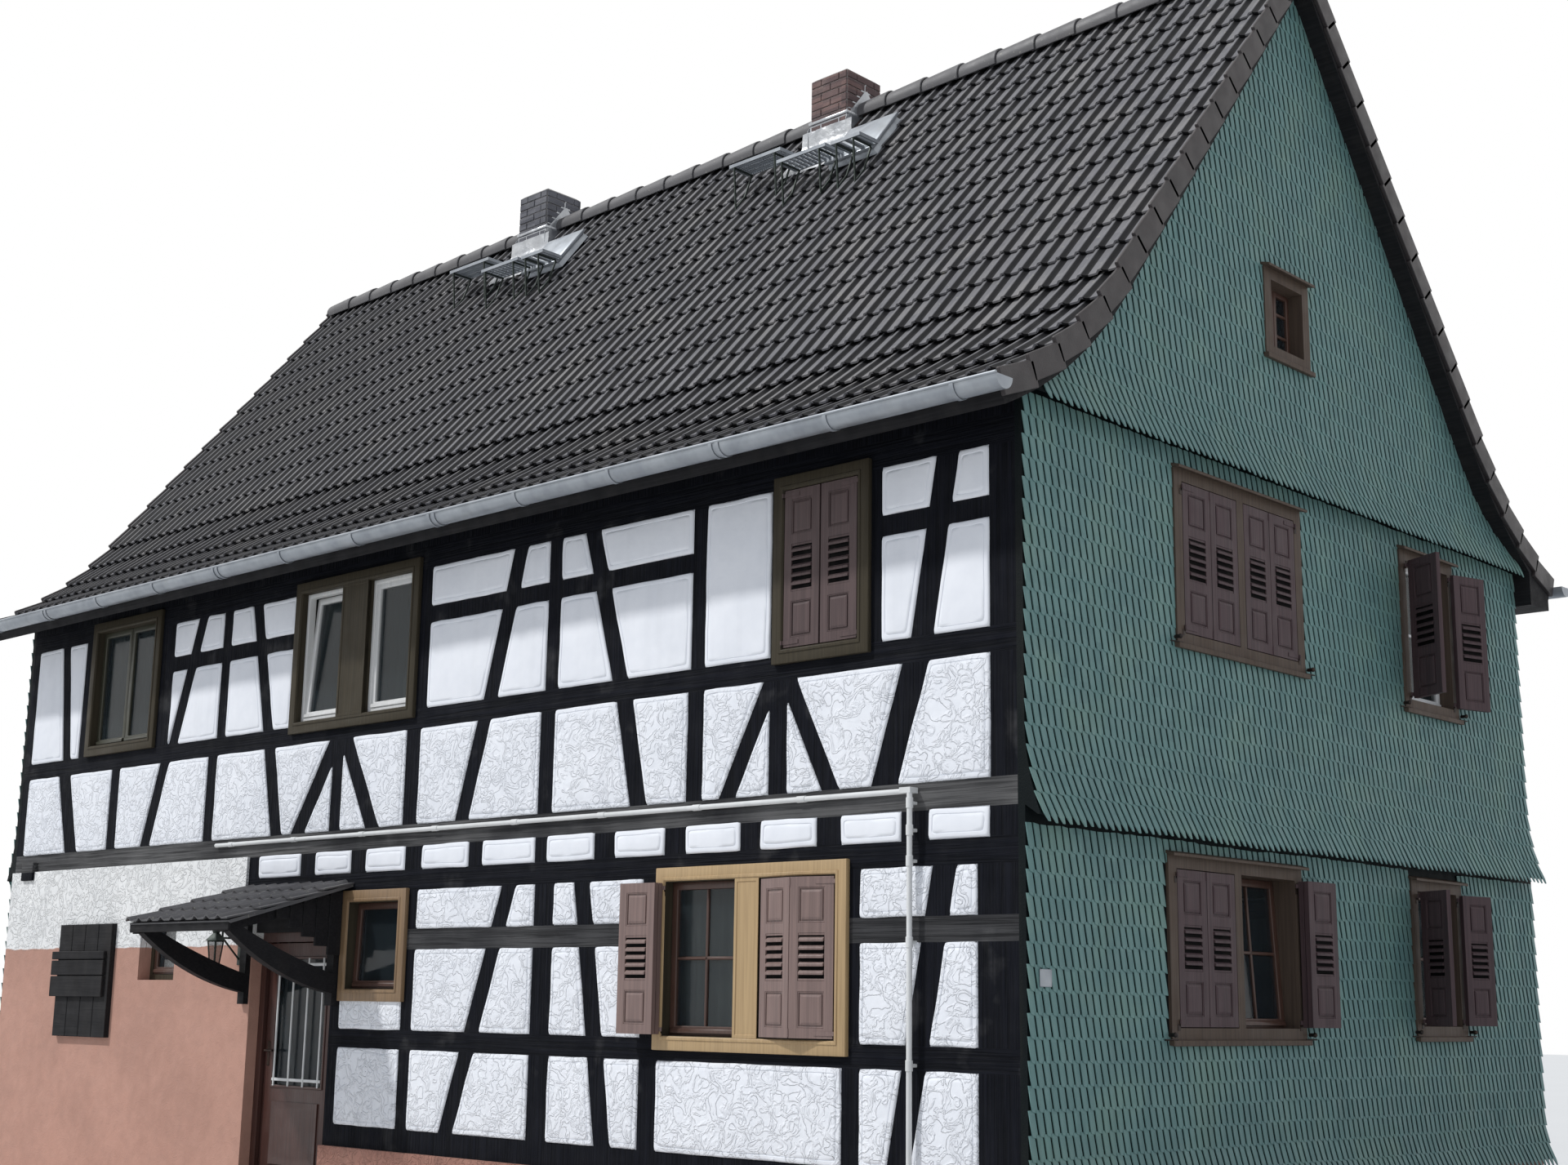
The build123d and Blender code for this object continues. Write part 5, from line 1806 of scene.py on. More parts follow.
LEAVES = [
    Hung("street_left", *STREET_RIGHT, Wall.STREET, True, 0, "street_shutter_left", finish=SHUTTER),
    Hung("street_right", *STREET_RIGHT, Wall.STREET, False, 0, "street_shutter_right", finish=SHUTTER),
    Hung("upper_left", *UP_SINGLE, Wall.GABLE, True, 117, "upper_shutter_left"),
    Hung("upper_right", *UP_SINGLE, Wall.GABLE, False, 163, "upper_shutter_right"),
    Hung("lower_left", *LOW_SINGLE, Wall.GABLE, True, 117, "lower_shutter_left"),
    Hung("lower_right", *LOW_SINGLE, Wall.GABLE, False, 163, "lower_shutter_right"),
    *folded("gable_fold", ((UP_PAIR[0], True, 0), (UP_PAIR[1], False, 0), (LOW_PAIR[0], True, 0),
                           (LOW_PAIR[1], False, 176)), Wall.GABLE, SHUTTER_GABLE),
    # The ground-floor folding shutters take the lighter copy of the shutter paint, as painted sunlight.
    *folded("ground_fold", ((GROUND[0], True, 176), (GROUND[1], False, 12)), Wall.STREET, SHUTTER_PAINTED_SUNLIGHT),
]


def hang_shutters() -> None:
    """Makes the mouldings of each size of leaf once and copies them to every leaf."""
    patterns: dict[tuple[float, float], tuple[Piece, Piece]] = {}
    fixed: dict[str, list[Piece]] = {}
    for leaf in LEAVES:
        size = leaf.size()
        if size not in patterns:
            patterns[size] = (Leaf(*size).build(), Leaf(*size).gaps())
        # Each leaf gets its mouldings and a copy of the near-black plates that paint shade in its louvre gaps.
        for pattern, title, finish in zip(patterns[size], ("mouldings_", "louvre_painted_shade_"), (leaf.finish, LOUVRE_SHADE)):
            copy = copied(pattern, leaf.move(), title + leaf.name)
            if leaf.body == "house":
                fixed.setdefault(finish.name, []).append(copy)
            else:
                ready(copy, finish, leaf.body)
    for finish in (SHUTTER_PAINTED_SUNLIGHT, SHUTTER_GABLE):
        group = fixed.get(finish.name, [])
        if group:
            ready(joined("mouldings_folding_" + finish.name.split()[1], group), finish)
    ready(joined("louvre_painted_shade_folding", fixed[LOUVRE_SHADE.name]), LOUVRE_SHADE)
    discard(*(pattern for pair in patterns.values() for pattern in pair))


def glaze() -> None:
    """Makes every window's sashes, panes and curtains."""
    windows = [
        Window("street_left", (-10.7, -9.66), (3.88, 4.95), Wall.STREET, SASH_OLIVE, 2, curtain=True),
        Window("street_middle_left", (-7.31, -6.735), (3.82, 4.89), Wall.STREET, tilt=0.07, curtain=True, rim=0.032),
        Window("street_middle_right", (-6.385, -5.81), (3.82, 4.89), Wall.STREET, curtain=True, rim=0.032),
        Window("street_right", *STREET_RIGHT, Wall.STREET, SASH_BROWN, 2),
        Window("ground_left", *GROUND[0], Wall.STREET, SASH_BROWN, 1, 1, 1, curtain=True),
        Window("ground_right", *GROUND[1], Wall.STREET, SASH_BROWN, 1, 1, 1),
        Window("door_side", (-6.4, -5.77), (1.69, 2.34), Wall.STREET, SASH_BROWN, tilt=0.03),
        Window("niche", (-9.46, -8.97), (1.8, 2.24), Wall.STREET, SASH_BROWN, level_bars=1, set_back=0.095),
    ]
    gable = [
        Window("upper_pair_a", *UP_PAIR[0], Wall.GABLE, SASH_BROWN, level_bars=1),
        Window("upper_pair_b", *UP_PAIR[1], Wall.GABLE, SASH_BROWN, level_bars=1),
        Window("upper_single", *UP_SINGLE, Wall.GABLE, SASH_WHITE, level_bars=1, curtain=True),
        Window("lower_pair_a", *LOW_PAIR[0], Wall.GABLE, SASH_BROWN, level_bars=1),
        Window("lower_pair_b", *LOW_PAIR[1], Wall.GABLE, SASH_BROWN, upright_bars=1, level_bars=1, tilt=0.06),
        Window("lower_single", *LOW_SINGLE, Wall.GABLE, SASH_BROWN, level_bars=1, curtain=True),
        Window("attic", (2.91, 3.34), (6.18, 6.67), Wall.GABLE, SASH_BROWN, 2, level_bars=2, bar=0.035),
    ]
    post, casing = 0.15, 0.09
    step = (HOUSE_LENGTH - post) / 8
    rear = []
    for bay in (1, 3, 6):
        left = -(bay + 1) * step
        across = (left + casing, left + step - post - casing)
        for low, high in ((1.39, 2.5), (3.79, 4.88)):
            rear.append(Window(f"rear_{bay}", across, (low + casing, high - casing), Wall.REAR, leaves=2,
                               level_bars=1, curtain=True))
    made: dict[str, list[Piece]] = {name: [] for name in ("sash white", "sash brown", "sash olive", "pane", "curtain")}
    for window in windows + gable + rear:
        result = window.build()
        if window.wall is Wall.GABLE:
            for key in result:
                result[key] += [to_left(piece, piece.name + "_far") for piece in result[key]]
        made[window.finish.name] += result["sash"]
        made["pane"] += result["pane"]
        made["curtain"] += result["curtain"]
    whole = [joined("sashes_white", made["sash white"]), joined("sashes_brown", made["sash brown"])]
    ready(whole[0], SASH_WHITE, stands_for=["window_sashes"], smooth=40)
    ready(joined("sashes_olive", made["sash olive"]), SASH_OLIVE, smooth=40)
    ready(whole[1], SASH_BROWN, stands_for=["window_sashes"], smooth=40)
    ready(joined("panes", made["pane"]), PANE, stands_for=["window_glass"], smooth=40)
    ready(joined("curtains", made["curtain"]), CLOTH, smooth=60)


@dataclass
class Door:
    """The glazed door leaf with four white bars in front of its pane."""

    across: Span = (-7.637, -6.703)
    deep: Span = (0.102, 0.15)
    tall: Span = (0.188, 2.047)
    stile: float = 0.12
    foot: float = 0.62
    bars: int = 4
    bar_radius: float = 0.009

    def build(self) -> None:
        """Makes the leaf's frame, foot panel, bars and pane."""
        x, y, z = self.across, self.deep, self.tall
        ring = soften(holed("door_ring", x, y, z, self.stile, foot=self.foot), 0.006, 2)
        panel = block("door_panel", within(x, 0.15), (y[0] - 0.012, y[1]), (z[0] + 0.14, z[0] + self.foot))
        shape(panel, facing(Y, -1), (0.03, -0.008), (0.04, 0.006))
        bead = holed("door_bead", within(x, 0.105), (y[0] - 0.01, y[0] + 0.006),
                     (z[0] + 0.725, z[1] - 0.105), 0.022)
        soften(bead, 0.004)
        ready(joined("door_joinery", [ring, panel, bead]), DOOR, "door_leaf", ["door_leaf"], smooth=40)
        low, high = z[0] + self.foot + self.stile, z[1] - self.stile
        pane = block("door_pane", within(x, 0.115), (0.122, 0.13), (low - 0.006, high + 0.006))
        ready(soften(pane, 0.002), PANE, "door_leaf")
        front = y[0] - 0.012
        bars = []
        for index in range(self.bars):
            middle = x[0] + 0.16 + index * (x[1] - x[0] - 0.32) / (self.bars - 1)
            bar = rod("bar", (middle, front, low), (middle, front, high), self.bar_radius, 10)
            bars.append(shape(bar, ends(Z), (0.003, 0)))
        for level in (low + 0.05, high - 0.05):
            tie = block("tie", within(x, 0.13), (y[0] - 0.014, y[0] - 0.004), about(level, 0.012))
            bars.append(soften(tie, 0.003))
        ready(joined("door_bars", bars), PLASTIC, "door_leaf", smooth=40)
        handle = rod("door_handle", (x[0] + 0.06, y[0] - 0.045, 1.2), (x[0] + 0.17, y[0] - 0.045, 1.2), 0.009)
        with editing(handle):
            pick(handle, facing(X, -1))
            extrude(-0.012, 0.03, 0)
            extrude(0, 0.02, 0)
        plate = soften(block("plate", (x[0] + 0.035, x[0] + 0.07), (y[0] - 0.006, y[0] + 0.001), (1.08, 1.27)), 0.004)
        ready(joined("door_furniture", [handle, plate]), IRON, "door_leaf", smooth=40)


@dataclass
class Canopy:
    """The lean-to roof over the door, with ribbed tiles, a fascia and a boarded cheek."""

    left: float = -7.85
    right: float = -6.39
    reach: float = 1.1
    wall: float = 2.52
    edge: float = 2.19
    courses: int = 4
    columns: int = 9
    cheek_boards: int = 5

    def build(self) -> None:
        """Makes the canopy's tiles and boards."""
        slope = math.atan2(self.wall - self.edge, self.reach)
        length = math.hypot(self.wall - self.edge, self.reach)
        width = (self.right - self.left) / self.columns
        tall = length / self.courses
        tile = sheet("tile", 8, 1, (width, tall + 0.03), (width / 2, (tall + 0.03) / 2, 0))
        for vert in tile.data.vertices:
            share = vert.co.x / width
            vert.co.z = 0.026 * max(0.0, math.sin(2 * math.pi * share)) - 0.022 + 0.02 * (1 - vert.co.y / tall)
        apply_modifier(tile, "SOLIDIFY", thickness=0.012, offset=-1)
        turn = Matrix.Rotation(slope, 4, "X")
        rows = []
        for course in range(self.courses):
            row = copied(tile, Matrix.Identity(4), "row")
            repeat(row, (width, 0, 0), self.columns)
            y = -self.reach + course * tall * math.cos(slope)
            z = self.edge + course * tall * math.sin(slope)
            row.data.transform(Matrix.Translation((self.left, y, z)) @ turn)
            rows.append(row)
        discard(tile)
        under = block("canopy_deck", within((self.left, self.right), 0.01), (0, length - 0.03), (-0.045, -0.02))
        shape(under, facing(Y, -1), (0.004, 0), move=(0, -0.006, 0))
        under.data.transform(Matrix.Translation((0, -self.reach + 0.03, self.edge)) @ turn)
        tiles = joined("canopy_courses", rows + [under])
        with editing(tiles):
            bpy.ops.mesh.select_all(action="SELECT")
            bpy.ops.mesh.bisect(plane_co=(0, 0, 0), plane_no=(0, 1, 0), clear_outer=True, use_fill=True)
        ready(tiles, CAP, stands_for=["canopy_tiles"], smooth=40)
        boards = []
        for index in range(self.cheek_boards):
            y0 = -0.62 + index * 0.118
            top = self.wall - 0.06 + (y0 + 0.05) * math.tan(slope)
            board = block("cheek", (self.right - 0.115, self.right - 0.09), (y0, y0 + 0.114), (1.86 - y0 * 0.55, top))
            boards.append(soften(board, 0.004))
        lath = block("fascia", (self.left + 0.02, self.right - 0.02), (-self.reach + 0.03, -self.reach + 0.055),
                     (self.edge - 0.095, self.edge - 0.035))
        ready(joined("canopy_boards", boards + [soften(lath, 0.005)]), BOARD, smooth=30)


@dataclass
class Gutters:
    """Beads and joints on the half-round gutters."""

    y: float = -0.478
    z: float = 5.104
    radius: float = 0.078
    left: float = -12.29
    right: float = 0.29
    joints: int = 13

    def hoop(self) -> Piece:
        """Makes a half-round band, one joint of the gutter.

        Returns:
            The band.
        """
        band = half_pipe("band", 24, self.radius + 0.003, 0.03, lambda face: face.calc_center_median().z > 0.004)
        apply_modifier(band, "SOLIDIFY", thickness=0.004, offset=1)
        return band

    def build(self) -> None:
        """Makes the beads and joints of both gutters."""
        band = self.hoop()
        parts = []
        for index in range(self.joints):
            x = self.left + 0.5 + index * 0.98
            for shift in (0, 0.06) if index % 3 == 1 else (0,):
                parts.append(copied(band, Matrix.Translation((x + shift, self.y, self.z)), "band"))
        discard(band)
        front, height = self.y - self.radius, self.z + 0.004
        bead = rod("bead", (self.left, front, height), (self.right, front, height), 0.01)
        with editing(bead):
            pick(bead, ends(X))
            bpy.ops.mesh.inset(thickness=0.003)
            extrude(0, 0, 0)
        street = joined("gutter_fittings_street", parts + [bead])
        rear = to_rear(street, "gutter_fittings_rear")
        ready(joined("gutter_fittings", [street, rear]), ZINC, smooth=40)


@dataclass
class Stack:
    """One chimney: brick courses over the roof on a mortar core, and a crumpled zinc apron."""

    name: str
    x: float
    finish: Finish
    half: Span = (0.21, 0.22)
    middle: float = 3.33
    top: float = 9.72
    foot: float = 5.2
    course: float = 0.072
    courses: int = 10
    apron_foot: float = 2.80
    apron_length: float = 0.62

    def bricks(self) -> Piece:
        """Lays the bricks round the stack in courses.

        Returns:
            The bricks.
        """
        parts = []
        for index in range(self.courses):
            z0 = self.top - 0.02 - (index + 1) * self.course
            for side in range(4):
                turn = Matrix.Translation((self.x, self.middle, 0)) @ Matrix.Rotation(side * math.pi / 2, 4, "Z")
                half, out = self.half if side % 2 == 0 else self.half[::-1]
                cuts = [-half, -half + (0.23 if index % 2 else 0.12), half if index % 2 else half - 0.09, half]
                for low, high in zip(cuts, cuts[1:]):
                    if high - low < 0.05:
                        continue
                    brick = block("brick", (low + 0.004, high - 0.004), (-out - 0.006, -out + 0.02),
                                  (z0 + 0.005, z0 + self.course - 0.004))
                    lean = 0.004 * noise.noise(Vector((self.x + low * 9, side * 3.1, z0 * 14)))
                    shape(brick, facing(Y, -1), (0.004, 0), move=(0, -0.004 + lean, 0))
                    brick.data.transform(turn)
                    parts.append(brick)
        return joined("bricks_" + self.name, parts)

    def core(self) -> Piece:
        """Makes the mortar core with its rounded head and the flue.

        Returns:
            The core.
        """
        core = block("core", about(0, self.half[0]), about(0, self.half[1]), (self.foot, self.top - 0.02))
        with editing(core):
            pick(core, facing(Z, 1))
            bpy.ops.mesh.inset(thickness=0.03)
            bpy.ops.transform.translate(value=(0, 0, 0.026))
            bpy.ops.mesh.inset(thickness=0.06)
            extrude(0, 0, -0.4)
        soften(core, 0.006, 2)
        core.data.transform(Matrix.Translation((self.x, self.middle, 0)))
        return core

    def slope_sheet(self) -> Piece:
        """Makes the crumpled zinc that runs up the street slope and turns up the stack.

        Returns:
            The sheet.
        """
        zinc = sheet("sheet", 24, 22, (2 * self.half[0] + 0.16, self.apron_length))
        foot_run = SLOPE.run_to(self.apron_foot)
        edge_run = SLOPE.run_to(self.middle - self.half[1] - 0.018)
        along = edge_run - foot_run
        for vert in zinc.data.vertices:
            share = vert.co.y + self.apron_length / 2
            x = self.x + vert.co.x * (1.0 + 0.10 * (self.apron_length - share))
            ripple = 0.010 * noise.noise(Vector((x * 9, share * 5, 2.0)))
            ripple += 0.006 * noise.noise(Vector((x * 30, share * 18, 5.0)))
            if share < along:
                y, z, _ = SLOPE.at(foot_run + share, 0.014 + ripple)
            else:
                y, z, _ = SLOPE.at(edge_run, 0.014)
                y, z = y - ripple, z + share - along
            vert.co = Vector((x, y, z))
        apply_modifier(zinc, "SOLIDIFY", thickness=0.004)
        return zinc

    def side_sheet(self, sign: int) -> Piece:
        """Makes the zinc along one side of the stack.

        Args:
            sign: 1 for the right side, -1 for the left.

        Returns:
            The sheet.
        """
        low, high = self.middle - self.half[1] - 0.03, self.middle + self.half[1] + 0.03
        zinc = sheet("side", 16, 8)
        for vert in zinc.data.vertices:
            y = low + (vert.co.x + 0.5) * (high - low)
            up = (vert.co.y + 0.5) * 0.2
            roof = SLOPE.at(SLOPE.run_to(min(y, SLOPE.depth - y)))[1]
            out = self.half[0] + 0.016 + 0.005 * noise.noise(Vector((y * 12, up * 12, sign)))
            vert.co = Vector((self.x + sign * out, y, roof - 0.01 + up))
        apply_modifier(zinc, "SOLIDIFY", thickness=0.004)
        return zinc

    def apron(self) -> Piece:
        """Makes the crumpled zinc round the stack's foot, and the band round its head.

        Returns:
            The apron.
        """
        street = self.slope_sheet()
        parts = [street, to_rear(street, "sheet"), self.side_sheet(1), self.side_sheet(-1)]
        across, deep = (about(0, half + 0.02) for half in self.half)
        band = holed("band", across, deep, (9.28, 9.308), 0.018, axis=Z)
        soften(band, 0.003)
        band.data.transform(Matrix.Translation((self.x, self.middle, 0)))
        return joined("apron_" + self.name, parts + [band])

    def build(self) -> None:
        """Makes the stack's bricks, core and apron."""
        ready(self.bricks(), self.finish)
        ready(self.core(), MORTAR, stands_for=["chimneys"], smooth=40)
        ready(self.apron(), ZINC_BRIGHT, smooth=60)


@dataclass
class RoofFittings:
    """Hatches and walkway steps beside the chimneys."""

    starts: tuple[float, ...] = (-9.06, -5.05)
    hatch_place: Span = (2.7, 3.014)
    depth: float = 0.24
    rise: float = 0.13

    def hatch(self, x: float) -> Piece:
        """Makes a hatch with a domed lid on an upstand.

        Args:
            x: Its left side.

        Returns:
            The hatch.
        """
        run0, run1 = (SLOPE.run_to(y) for y in self.hatch_place)
        long = run1 - run0
        lid = block("hatch", (-0.01, 0.53), (-0.015, long + 0.01), (0.062, 0.088))
        soften(shape(lid, facing(Z, 1), (0.035, 0.006), (0.05, 0.012), (0.07, 0.006)), 0.004, 2)
        base = block("base", (0.012, 0.508), (0.01, long - 0.012), (0.0, 0.064))
        soften(shape(base, facing(Z, -1), grow=(1.1, 1.06, 1)), 0.004)
        hinge = rod("lid_hinge", (0.06, long + 0.012, 0.074), (0.46, long + 0.012, 0.074), 0.011)
        whole = joined("hatch", [lid, base, shape(hinge, ends(X), (0.004, 0))])
        whole.data.transform(SLOPE.place(x, run0))
        return whole

    def step(self, x: float, long: float, rear: float, bars: int) -> list[Piece]:
        """Makes one walkway section with its side brackets.

        Args:
            x: Its left side.
            long: Its length along the ridge.
            rear: Y of its rear edge.
            bars: Number of bars across it.

        Returns:
            The grating and its brackets.
        """
        z = SLOPE.at(SLOPE.run_to(rear))[1] + self.rise
        front = rear - self.depth
        pitch = (long - 0.03) / bars
        bar = block("bar", (x + 0.015 + pitch * 0.2, x + 0.015 + pitch * 0.62), (front + 0.01, rear - 0.01),
                    (z + 0.006, z + 0.026))
        repeat(soften(bar, 0.002), (pitch, 0, 0), bars)
        parts = [holed("walkway", (x, x + long), (front, rear), (z, z + 0.03), 0.016, axis=Z), bar]
        for y in (front + self.depth / 3, front + self.depth * 2 / 3) if bars > 3 else ():
            rail = block("rail", within((x, x + long), 0.01), about(y, 0.005), (z + 0.003, z + 0.024))
            parts.append(soften(rail, 0.002))
        brackets = []
        low_z = SLOPE.at(SLOPE.run_to(front))[1]
        for left in (x + 0.05, x + long - 0.08):
            side = block("bracket", (left, left + 0.012), (front, rear), (low_z, z + 0.001))
            for vert in side.data.vertices:
                if vert.co.z < z - 0.01:
                    vert.co.y = rear - 0.15 + 0.5 * (vert.co.y - rear + 0.12)
                    vert.co.z = SLOPE.at(SLOPE.run_to(vert.co.y))[1] + 0.004
            with editing(side):
                pick(side, ends(X))
                bpy.ops.mesh.inset(thickness=0.014, use_individual=True)
                bpy.ops.mesh.bridge_edge_loops()
            brackets.append(side)
        return [joined("walkway", parts), joined("brackets", brackets)]

    def build(self) -> None:
        """Makes the fittings beside both chimneys."""
        hatches, gratings, brackets = [], [], []
        for start in self.starts:
            hatches.append(self.hatch(start + 1.11))
            for offset, long, below, bars in ((0, 0.62, 0.52, 22), (0.74, 0.56, 0.69, 10), (1.38, 0.32, 0.71, 3)):
                grating, legs = self.step(start + offset, long, 3.35 - below, bars)
                gratings.append(grating)
                brackets.append(legs)
        ready(joined("hatch_lids", hatches), ZINC, stands_for=["roof_hatches"], smooth=40)
        ready(joined("walkway_gratings", gratings), ZINC, stands_for=["roof_walkways"], smooth=40)
        ready(joined("walkway_brackets", brackets), LAMP, smooth=40)


@dataclass
class Trims:
    """Small boards, knobs, sleeves and plates on the walls."""

    pipe_radius: float = 0.017
    pipe_height: float = 2.865
    planks: int = 4
    pipe_sleeves: int = 8
    pipe_clips: tuple[float, ...] = (0.4, 1.25, 1.95, 2.42, 2.6, 2.76)
    lamp: Point = (-7.9, -0.26, 1.85)

    def drip_boards(self) -> Piece:
        """Makes the sloped boards over the gable windows and sills under them.

        Returns:
            The boards.
        """
        boards = []
        for across, (foot, top) in WINDOWS.values():
            over = block("drip_board", (0.045, 0.125), within(across, -0.015), (top, top + 0.02))
            sill = block("sill", (0.06, 0.1), within(across, -0.02), (foot - 0.012, foot + 0.022))
            for board, fall in ((over, 0.022), (sill, 0.006)):
                boards.append(soften(shape(board, facing(X, 1), move=(0, 0, -fall)), 0.003))
        right = joined("window_boards", boards)
        return joined("window_boards", [right, to_left(right, "far")])

    def knobs(self) -> Piece:
        """Makes the shutter catches at the lower corners of the gable windows.

        Returns:
            The catches.
        """
        bpy.ops.mesh.primitive_uv_sphere_add(segments=12, ring_count=8, radius=0.016)
        ball = bpy.context.object
        with editing(ball):
            pick(ball, lambda face: face.calc_center_median().x < -0.011)
            extrude(-0.03, 0, 0)
        knobs = []
        for name in ("upper_pair", "upper_single", "lower_pair", "lower_single"):
            wide, tall = WINDOWS[name]
            z = tall[0] + 0.02
            for y in (wide[0] - 0.03, wide[1] + 0.03):
                knobs.append(copied(ball, Matrix.Translation((0.112, y, tall[0] + 0.05)), "knob"))
                stay = rod("stay", (0.072, y - 0.05, z), (0.09, y + 0.06, z), 0.005, 8)
                knobs.append(shape(stay, ends(Y), (0.0015, 0)))
        discard(ball)
        return joined("shutter_catches", knobs)

    def sleeves(self) -> Piece:
        """Makes the sleeves and clips along the white pipe.

        Returns:
            The sleeves and clips.
        """
        parts = []
        y, z = -self.pipe_radius, self.pipe_height
        for index in range(self.pipe_sleeves):
            x = -8.2 + 0.93 * index
            sleeve = rod("sleeve", (x, y, z), (x + 0.07, y, z), self.pipe_radius + 0.004, 16)
            parts.append(shape(sleeve, ends(X), (0.004, 0.002)))
        y = -self.pipe_radius - 0.04
        for z in self.pipe_clips:
            sleeve = rod("sleeve", (-0.75, y, z), (-0.75, y, z + 0.06), self.pipe_radius + 0.005, 16)
            clip = block("clip", (-0.762, -0.738), (y, 0.005), (z + 0.02, z + 0.04))
            parts += [shape(sleeve, ends(Z), (0.004, 0.002)), soften(clip, 0.003)]
        return joined("pipe_sleeves", parts)

    def hatch_boards(self) -> Piece:
        """Makes the broad boards of the plank hatch with three battens over them.

        Returns:
            The boards and battens.
        """
        parts = []
        y = -0.057
        for index in range(self.planks):
            low = -10.87 + index * 0.235
            board = block("plank", (low + 0.003, low + 0.232), (y - 0.012, y + 0.01), (1.25, 2.24))
            parts.append(shape(board, facing(Y, -1), (0.006, 0.003)))
        for span in ((1.93, 2.0), (1.6, 1.78), (1.79, 1.92)):
            parts.append(soften(block("batten", (-10.93, -9.99), (y - 0.045, y - 0.008), span), 0.005))
        return joined("hatch_planks", parts)

    def number_plate(self) -> Piece:
        """Makes the bare plate near the corner of the gable."""
        plate = soften(block("bare_plate", (0.06, 0.072), (0.1, 0.21), (1.73, 1.83)), 0.01, 3)
        return shape(plate, facing(X, 1), (0.006, -0.0015))

    def lantern(self) -> tuple[Piece, Piece]:
        """Makes the hexagonal lantern's metalwork and its panes.

        Returns:
            The metalwork, and the panes.
        """
        x, y, z = self.lamp
        middle = Vector((x, y, z + 0.105))
        bpy.ops.mesh.primitive_cone_add(vertices=6, radius1=0.046, radius2=0.076, depth=0.21, location=middle)
        cage = bpy.context.object
        cage.name = "lantern_cage"
        settle(cage)
        shrink = Matrix.Diagonal((0.93, 0.93, 0.97, 1))
        panes = copied(cage, Matrix.Translation(middle) @ shrink @ Matrix.Translation(-middle), "lantern_panes")
        shape(panes, facing(Z, -1), (0.01, 0.01))
        with editing(cage):
            pick(cage, lambda face: abs(face.normal.z) < SQUARE)
            bpy.ops.mesh.inset(thickness=0.008, use_individual=True)
            bpy.ops.mesh.delete(type="FACE")
        apply_modifier(cage, "SOLIDIFY", thickness=0.006)
        bpy.ops.mesh.primitive_cone_add(vertices=6, radius1=0.095, radius2=0.03, depth=0.06, location=(x, y, z + 0.24))
        roof = bpy.context.object
        settle(roof)
        with editing(roof):
            pick(roof, facing(Z, 1))
            extrude(0, 0, 0.022)
            bpy.ops.transform.resize(value=(1.25, 1.25, 1))
            bpy.ops.mesh.inset(thickness=0.008, depth=0.014)
            bpy.ops.mesh.inset(thickness=0.008, depth=0.016)
        parts = [cage, soften(roof, 0.002)]
        arm_z, strut_y = z + 0.235, y + 0.06
        for start, end in (((x, y, arm_z), (x, -0.03, arm_z)), ((x, -0.03, z + 0.06), (x, strut_y, arm_z)),
                           ((x, strut_y, arm_z), (x, strut_y, z + 0.30))):
            arm = rod("arm", start, end, 0.008, 10)
            parts.append(shape(arm, lambda face: len(face.verts) > 4, (0.002, 0)))
        plate = block("lamp_plate", about(x, 0.03), (-0.037, -0.024), (z + 0.02, z + 0.29))
        return joined("lantern_metal", parts + [soften(plate, 0.006, 2)]), panes

    def casing_boards(self) -> list[tuple[Piece, Finish]]:
        """Makes the mouldings of the street windows' casings.

        Returns:
            Each casing's mouldings with their finish.
        """
        made = []
        for name, x, z, finish in (
            ("left", (-10.79, -9.57), (3.79, 5.04), CASING), ("middle", (-7.4, -5.72), (3.73, 4.98), CASING),
            ("right", (-1.92, -1.11), (3.74, 4.96), CASING), ("ground", (-2.94, -1.27), (1.32, 2.48), CASING_OCHRE),
            ("side", (-6.49, -5.68), (1.6, 2.43), CASING_TAN),
        ):
            edge = holed("casing_" + name, within(x, -0.004), (-0.034, 0.004), within(z, -0.004), 0.09)
            lip = holed("lip", within(x, 0.06), (-0.04, -0.03), within(z, 0.06), 0.022)
            parts = [soften(edge, 0.006, 2), soften(lip, 0.004)]
            if name in ("middle", "ground"):
                half = 0.175 if name == "middle" else 0.105
                post = block("mullion", about(sum(x) / 2, half), (-0.034, 0.004), within(z, 0.085))
                parts.append(shape(post, facing(Y, -1), (0.02, 0.0), (0.004, -0.005)))
            made.append((joined("casing_" + name, parts), finish))
        return made

    def build(self) -> None:
        """Makes the trims and gives each its finish."""
        ready(self.drip_boards(), CASING_GABLE)
        ready(self.knobs(), IRON, smooth=50)
        ready(self.sleeves(), PLASTIC, smooth=40)
        ready(self.hatch_boards(), BOARD)
        ready(self.number_plate(), ZINC, smooth=40)
        stub = block("joist_stub", (-11.78, -11.56), (-0.05, 0.02), (2.67, 2.84))
        ready(soften(stub, 0.008, 2), TIMBER, smooth=40)
        metal, panes = self.lantern()
        ready(metal, LAMP, stands_for=["lantern"], smooth=30)
        ready(panes, PANE)
        for piece, finish in self.casing_boards():
            ready(piece, finish, smooth=40)


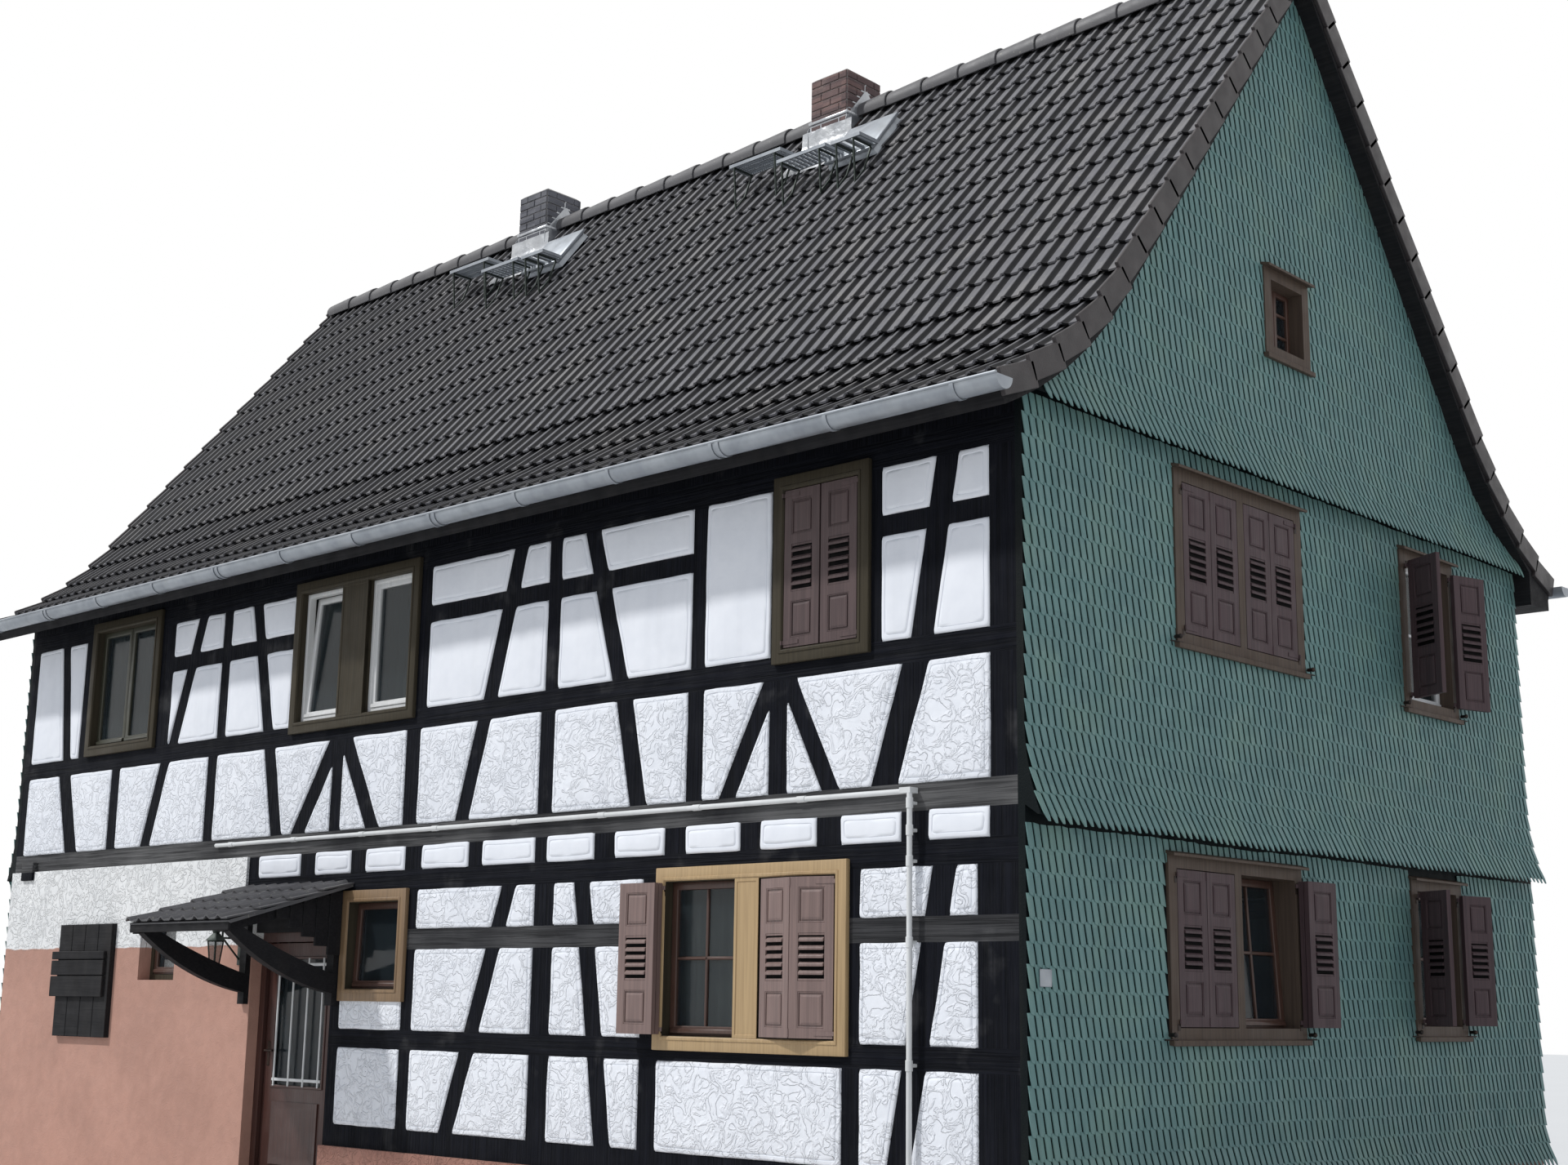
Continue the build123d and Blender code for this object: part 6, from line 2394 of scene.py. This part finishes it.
NODE_FINISHES = {
    TIMBER: ["front_upper_frame", "front_ground_frame", "joist_band", "rear_frame"],
    PLASTER: ["front_infill", "rear_infill"],
    BOARD: ["plank_hatch", "rear_eaves_box", "roof_boarding", "canopy_brackets", "door_header"],
    RENDER: ["front_masonry"],
    PLINTH: ["plinth_sides", "plinth_ends"],
    # The cladding behind the shingles is painted near-black as shadow in their joints.
    SHINGLE_SHADOW_BACKING: ["gable_shingles_attic", "gable_shingles_ground", "gable_shingles_upper"],
    INNER: ["gable_walls_attic", "gable_walls_ground", "gable_walls_upper"],
    CASING: ["front_window_frames", "rear_window_frames"],
    CASING_GABLE: ["gable_window_frames"],
    SHUTTER_GABLE: ["gable_folding_shutters", "lower_shutter_left", "lower_shutter_right", "upper_shutter_left",
                    "upper_shutter_right"],
    SHUTTER: ["street_shutter_left", "street_shutter_right"],
    SHUTTER_PAINTED_SUNLIGHT: ["street_folding_shutters"],
    IRON: ["hinge_pintles"],
    ZINC: ["gutters"],
    ZINC_BRIGHT: ["chimney_collars"],
    DOOR: ["door_frame"],
    STONE: ["door_step"],
    FLOOR_STONE: ["ground_floor"],
    FLOOR_BOARD: ["upper_floor", "attic_floor"],
    PLASTIC: ["wall_pipe"],
}


def dress_nodes() -> None:
    """Gives each part of the frame that still shows its material."""
    for finish, names in NODE_FINISHES.items():
        for name in names:
            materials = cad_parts[name].data.materials
            if not materials:
                materials.append(finish.material())
            for index in range(len(materials)):
                materials[index] = finish.material()


@dataclass
class Studio:
    """Camera, floor and lights."""

    eye: Point = (6.956, -9.283, 1.6)
    yaw: float = 43.49
    pitch: float = 11.79
    roll: float = 0.85
    focal: float = 2491.0

    def camera(self) -> None:
        """Sets up the camera as the photograph was taken."""
        yaw, pitch, roll = (math.radians(angle) for angle in (self.yaw, self.pitch, self.roll))
        ahead = Vector((-math.sin(yaw) * math.cos(pitch), math.cos(yaw) * math.cos(pitch), math.sin(pitch)))
        level = Vector((math.cos(yaw), math.sin(yaw), 0))
        up = level.cross(ahead)
        right = math.cos(roll) * level + math.sin(roll) * up
        top = math.cos(roll) * up - math.sin(roll) * level
        turn = Matrix((right, top, -ahead)).transposed()
        data = bpy.data.cameras.new("camera")
        data.sensor_width = 36
        data.lens = self.focal * 36 / 1920
        data.clip_end = 200
        camera = added("camera", data)
        camera.matrix_world = Matrix.Translation(Vector(self.eye) + CORNER) @ turn.to_4x4()
        bpy.context.scene.camera = camera

    def floor(self) -> None:
        """Lays a plain pale floor."""
        bpy.ops.mesh.primitive_plane_add(size=160)
        floor = bpy.context.object
        floor.name = "floor"
        made = bpy.data.materials.new("floor pale")
        made.use_nodes = True
        shading = Shading(made.node_tree)
        surface = made.node_tree.nodes["Principled BSDF"]
        surface.inputs["Roughness"].default_value = 0.9
        tone = shading.blend(shading.cloud(0.4), srgb(226, 226, 224), srgb(220, 220, 218))
        shading.feed(surface.inputs["Base Color"], tone)
        floor.data.materials.append(made)

    def lights(self) -> None:
        """Sets a soft key light high on the left of the street front, and a pale surrounding."""
        data = bpy.data.lights.new("key", "SUN")
        data.energy = 2.3
        data.angle = math.radians(3)
        key = added("key", data)
        toward = Vector((0.52, 0.62, -0.98))
        key.rotation_mode = "QUATERNION"
        key.rotation_quaternion = toward.to_track_quat("-Z", "Y")
        world = bpy.data.worlds.new("surrounding")
        world.use_nodes = True
        bpy.context.scene.world = world
        shading = Shading(world.node_tree)
        path = shading.fed("LightPath", {})
        seen = shading.maths("MAXIMUM", path["Is Camera Ray"], path["Is Glossy Ray"])
        seen = shading.maths("MAXIMUM", seen, path["Is Transmission Ray"])
        back = world.node_tree.nodes["Background"]
        shading.feed(back.inputs["Color"], shading.blend(seen, (0.82, 0.88, 1.0), (1.0, 1.0, 1.0)))
        shading.feed(back.inputs["Strength"], shading.spread(seen, 0.0, 1.0, 0.5, 1.0))

    def build(self) -> None:
        """Sets up camera, floor and lights."""
        bpy.context.scene.view_settings.view_transform = "Standard"
        self.camera()
        self.floor()
        self.lights()


def main() -> None:
    """Builds the looks of the whole house."""
    Studio().build()
    dress_nodes()
    Roof().build()
    Shingles().build()
    Panels().build("front_infill", "panels_street", -1.0)
    Panels().build("rear_infill", "panels_rear", 1.0)
    glaze()
    hang_shutters()
    Door().build()
    Canopy().build()
    Gutters().build()
    Stack("left", -8.4, BRICK_SLATE).build()
    Stack("right", -4.335, BRICK_BROWN).build()
    RoofFittings().build()
    Trims().build()


if __name__ == "__main__":
    main()
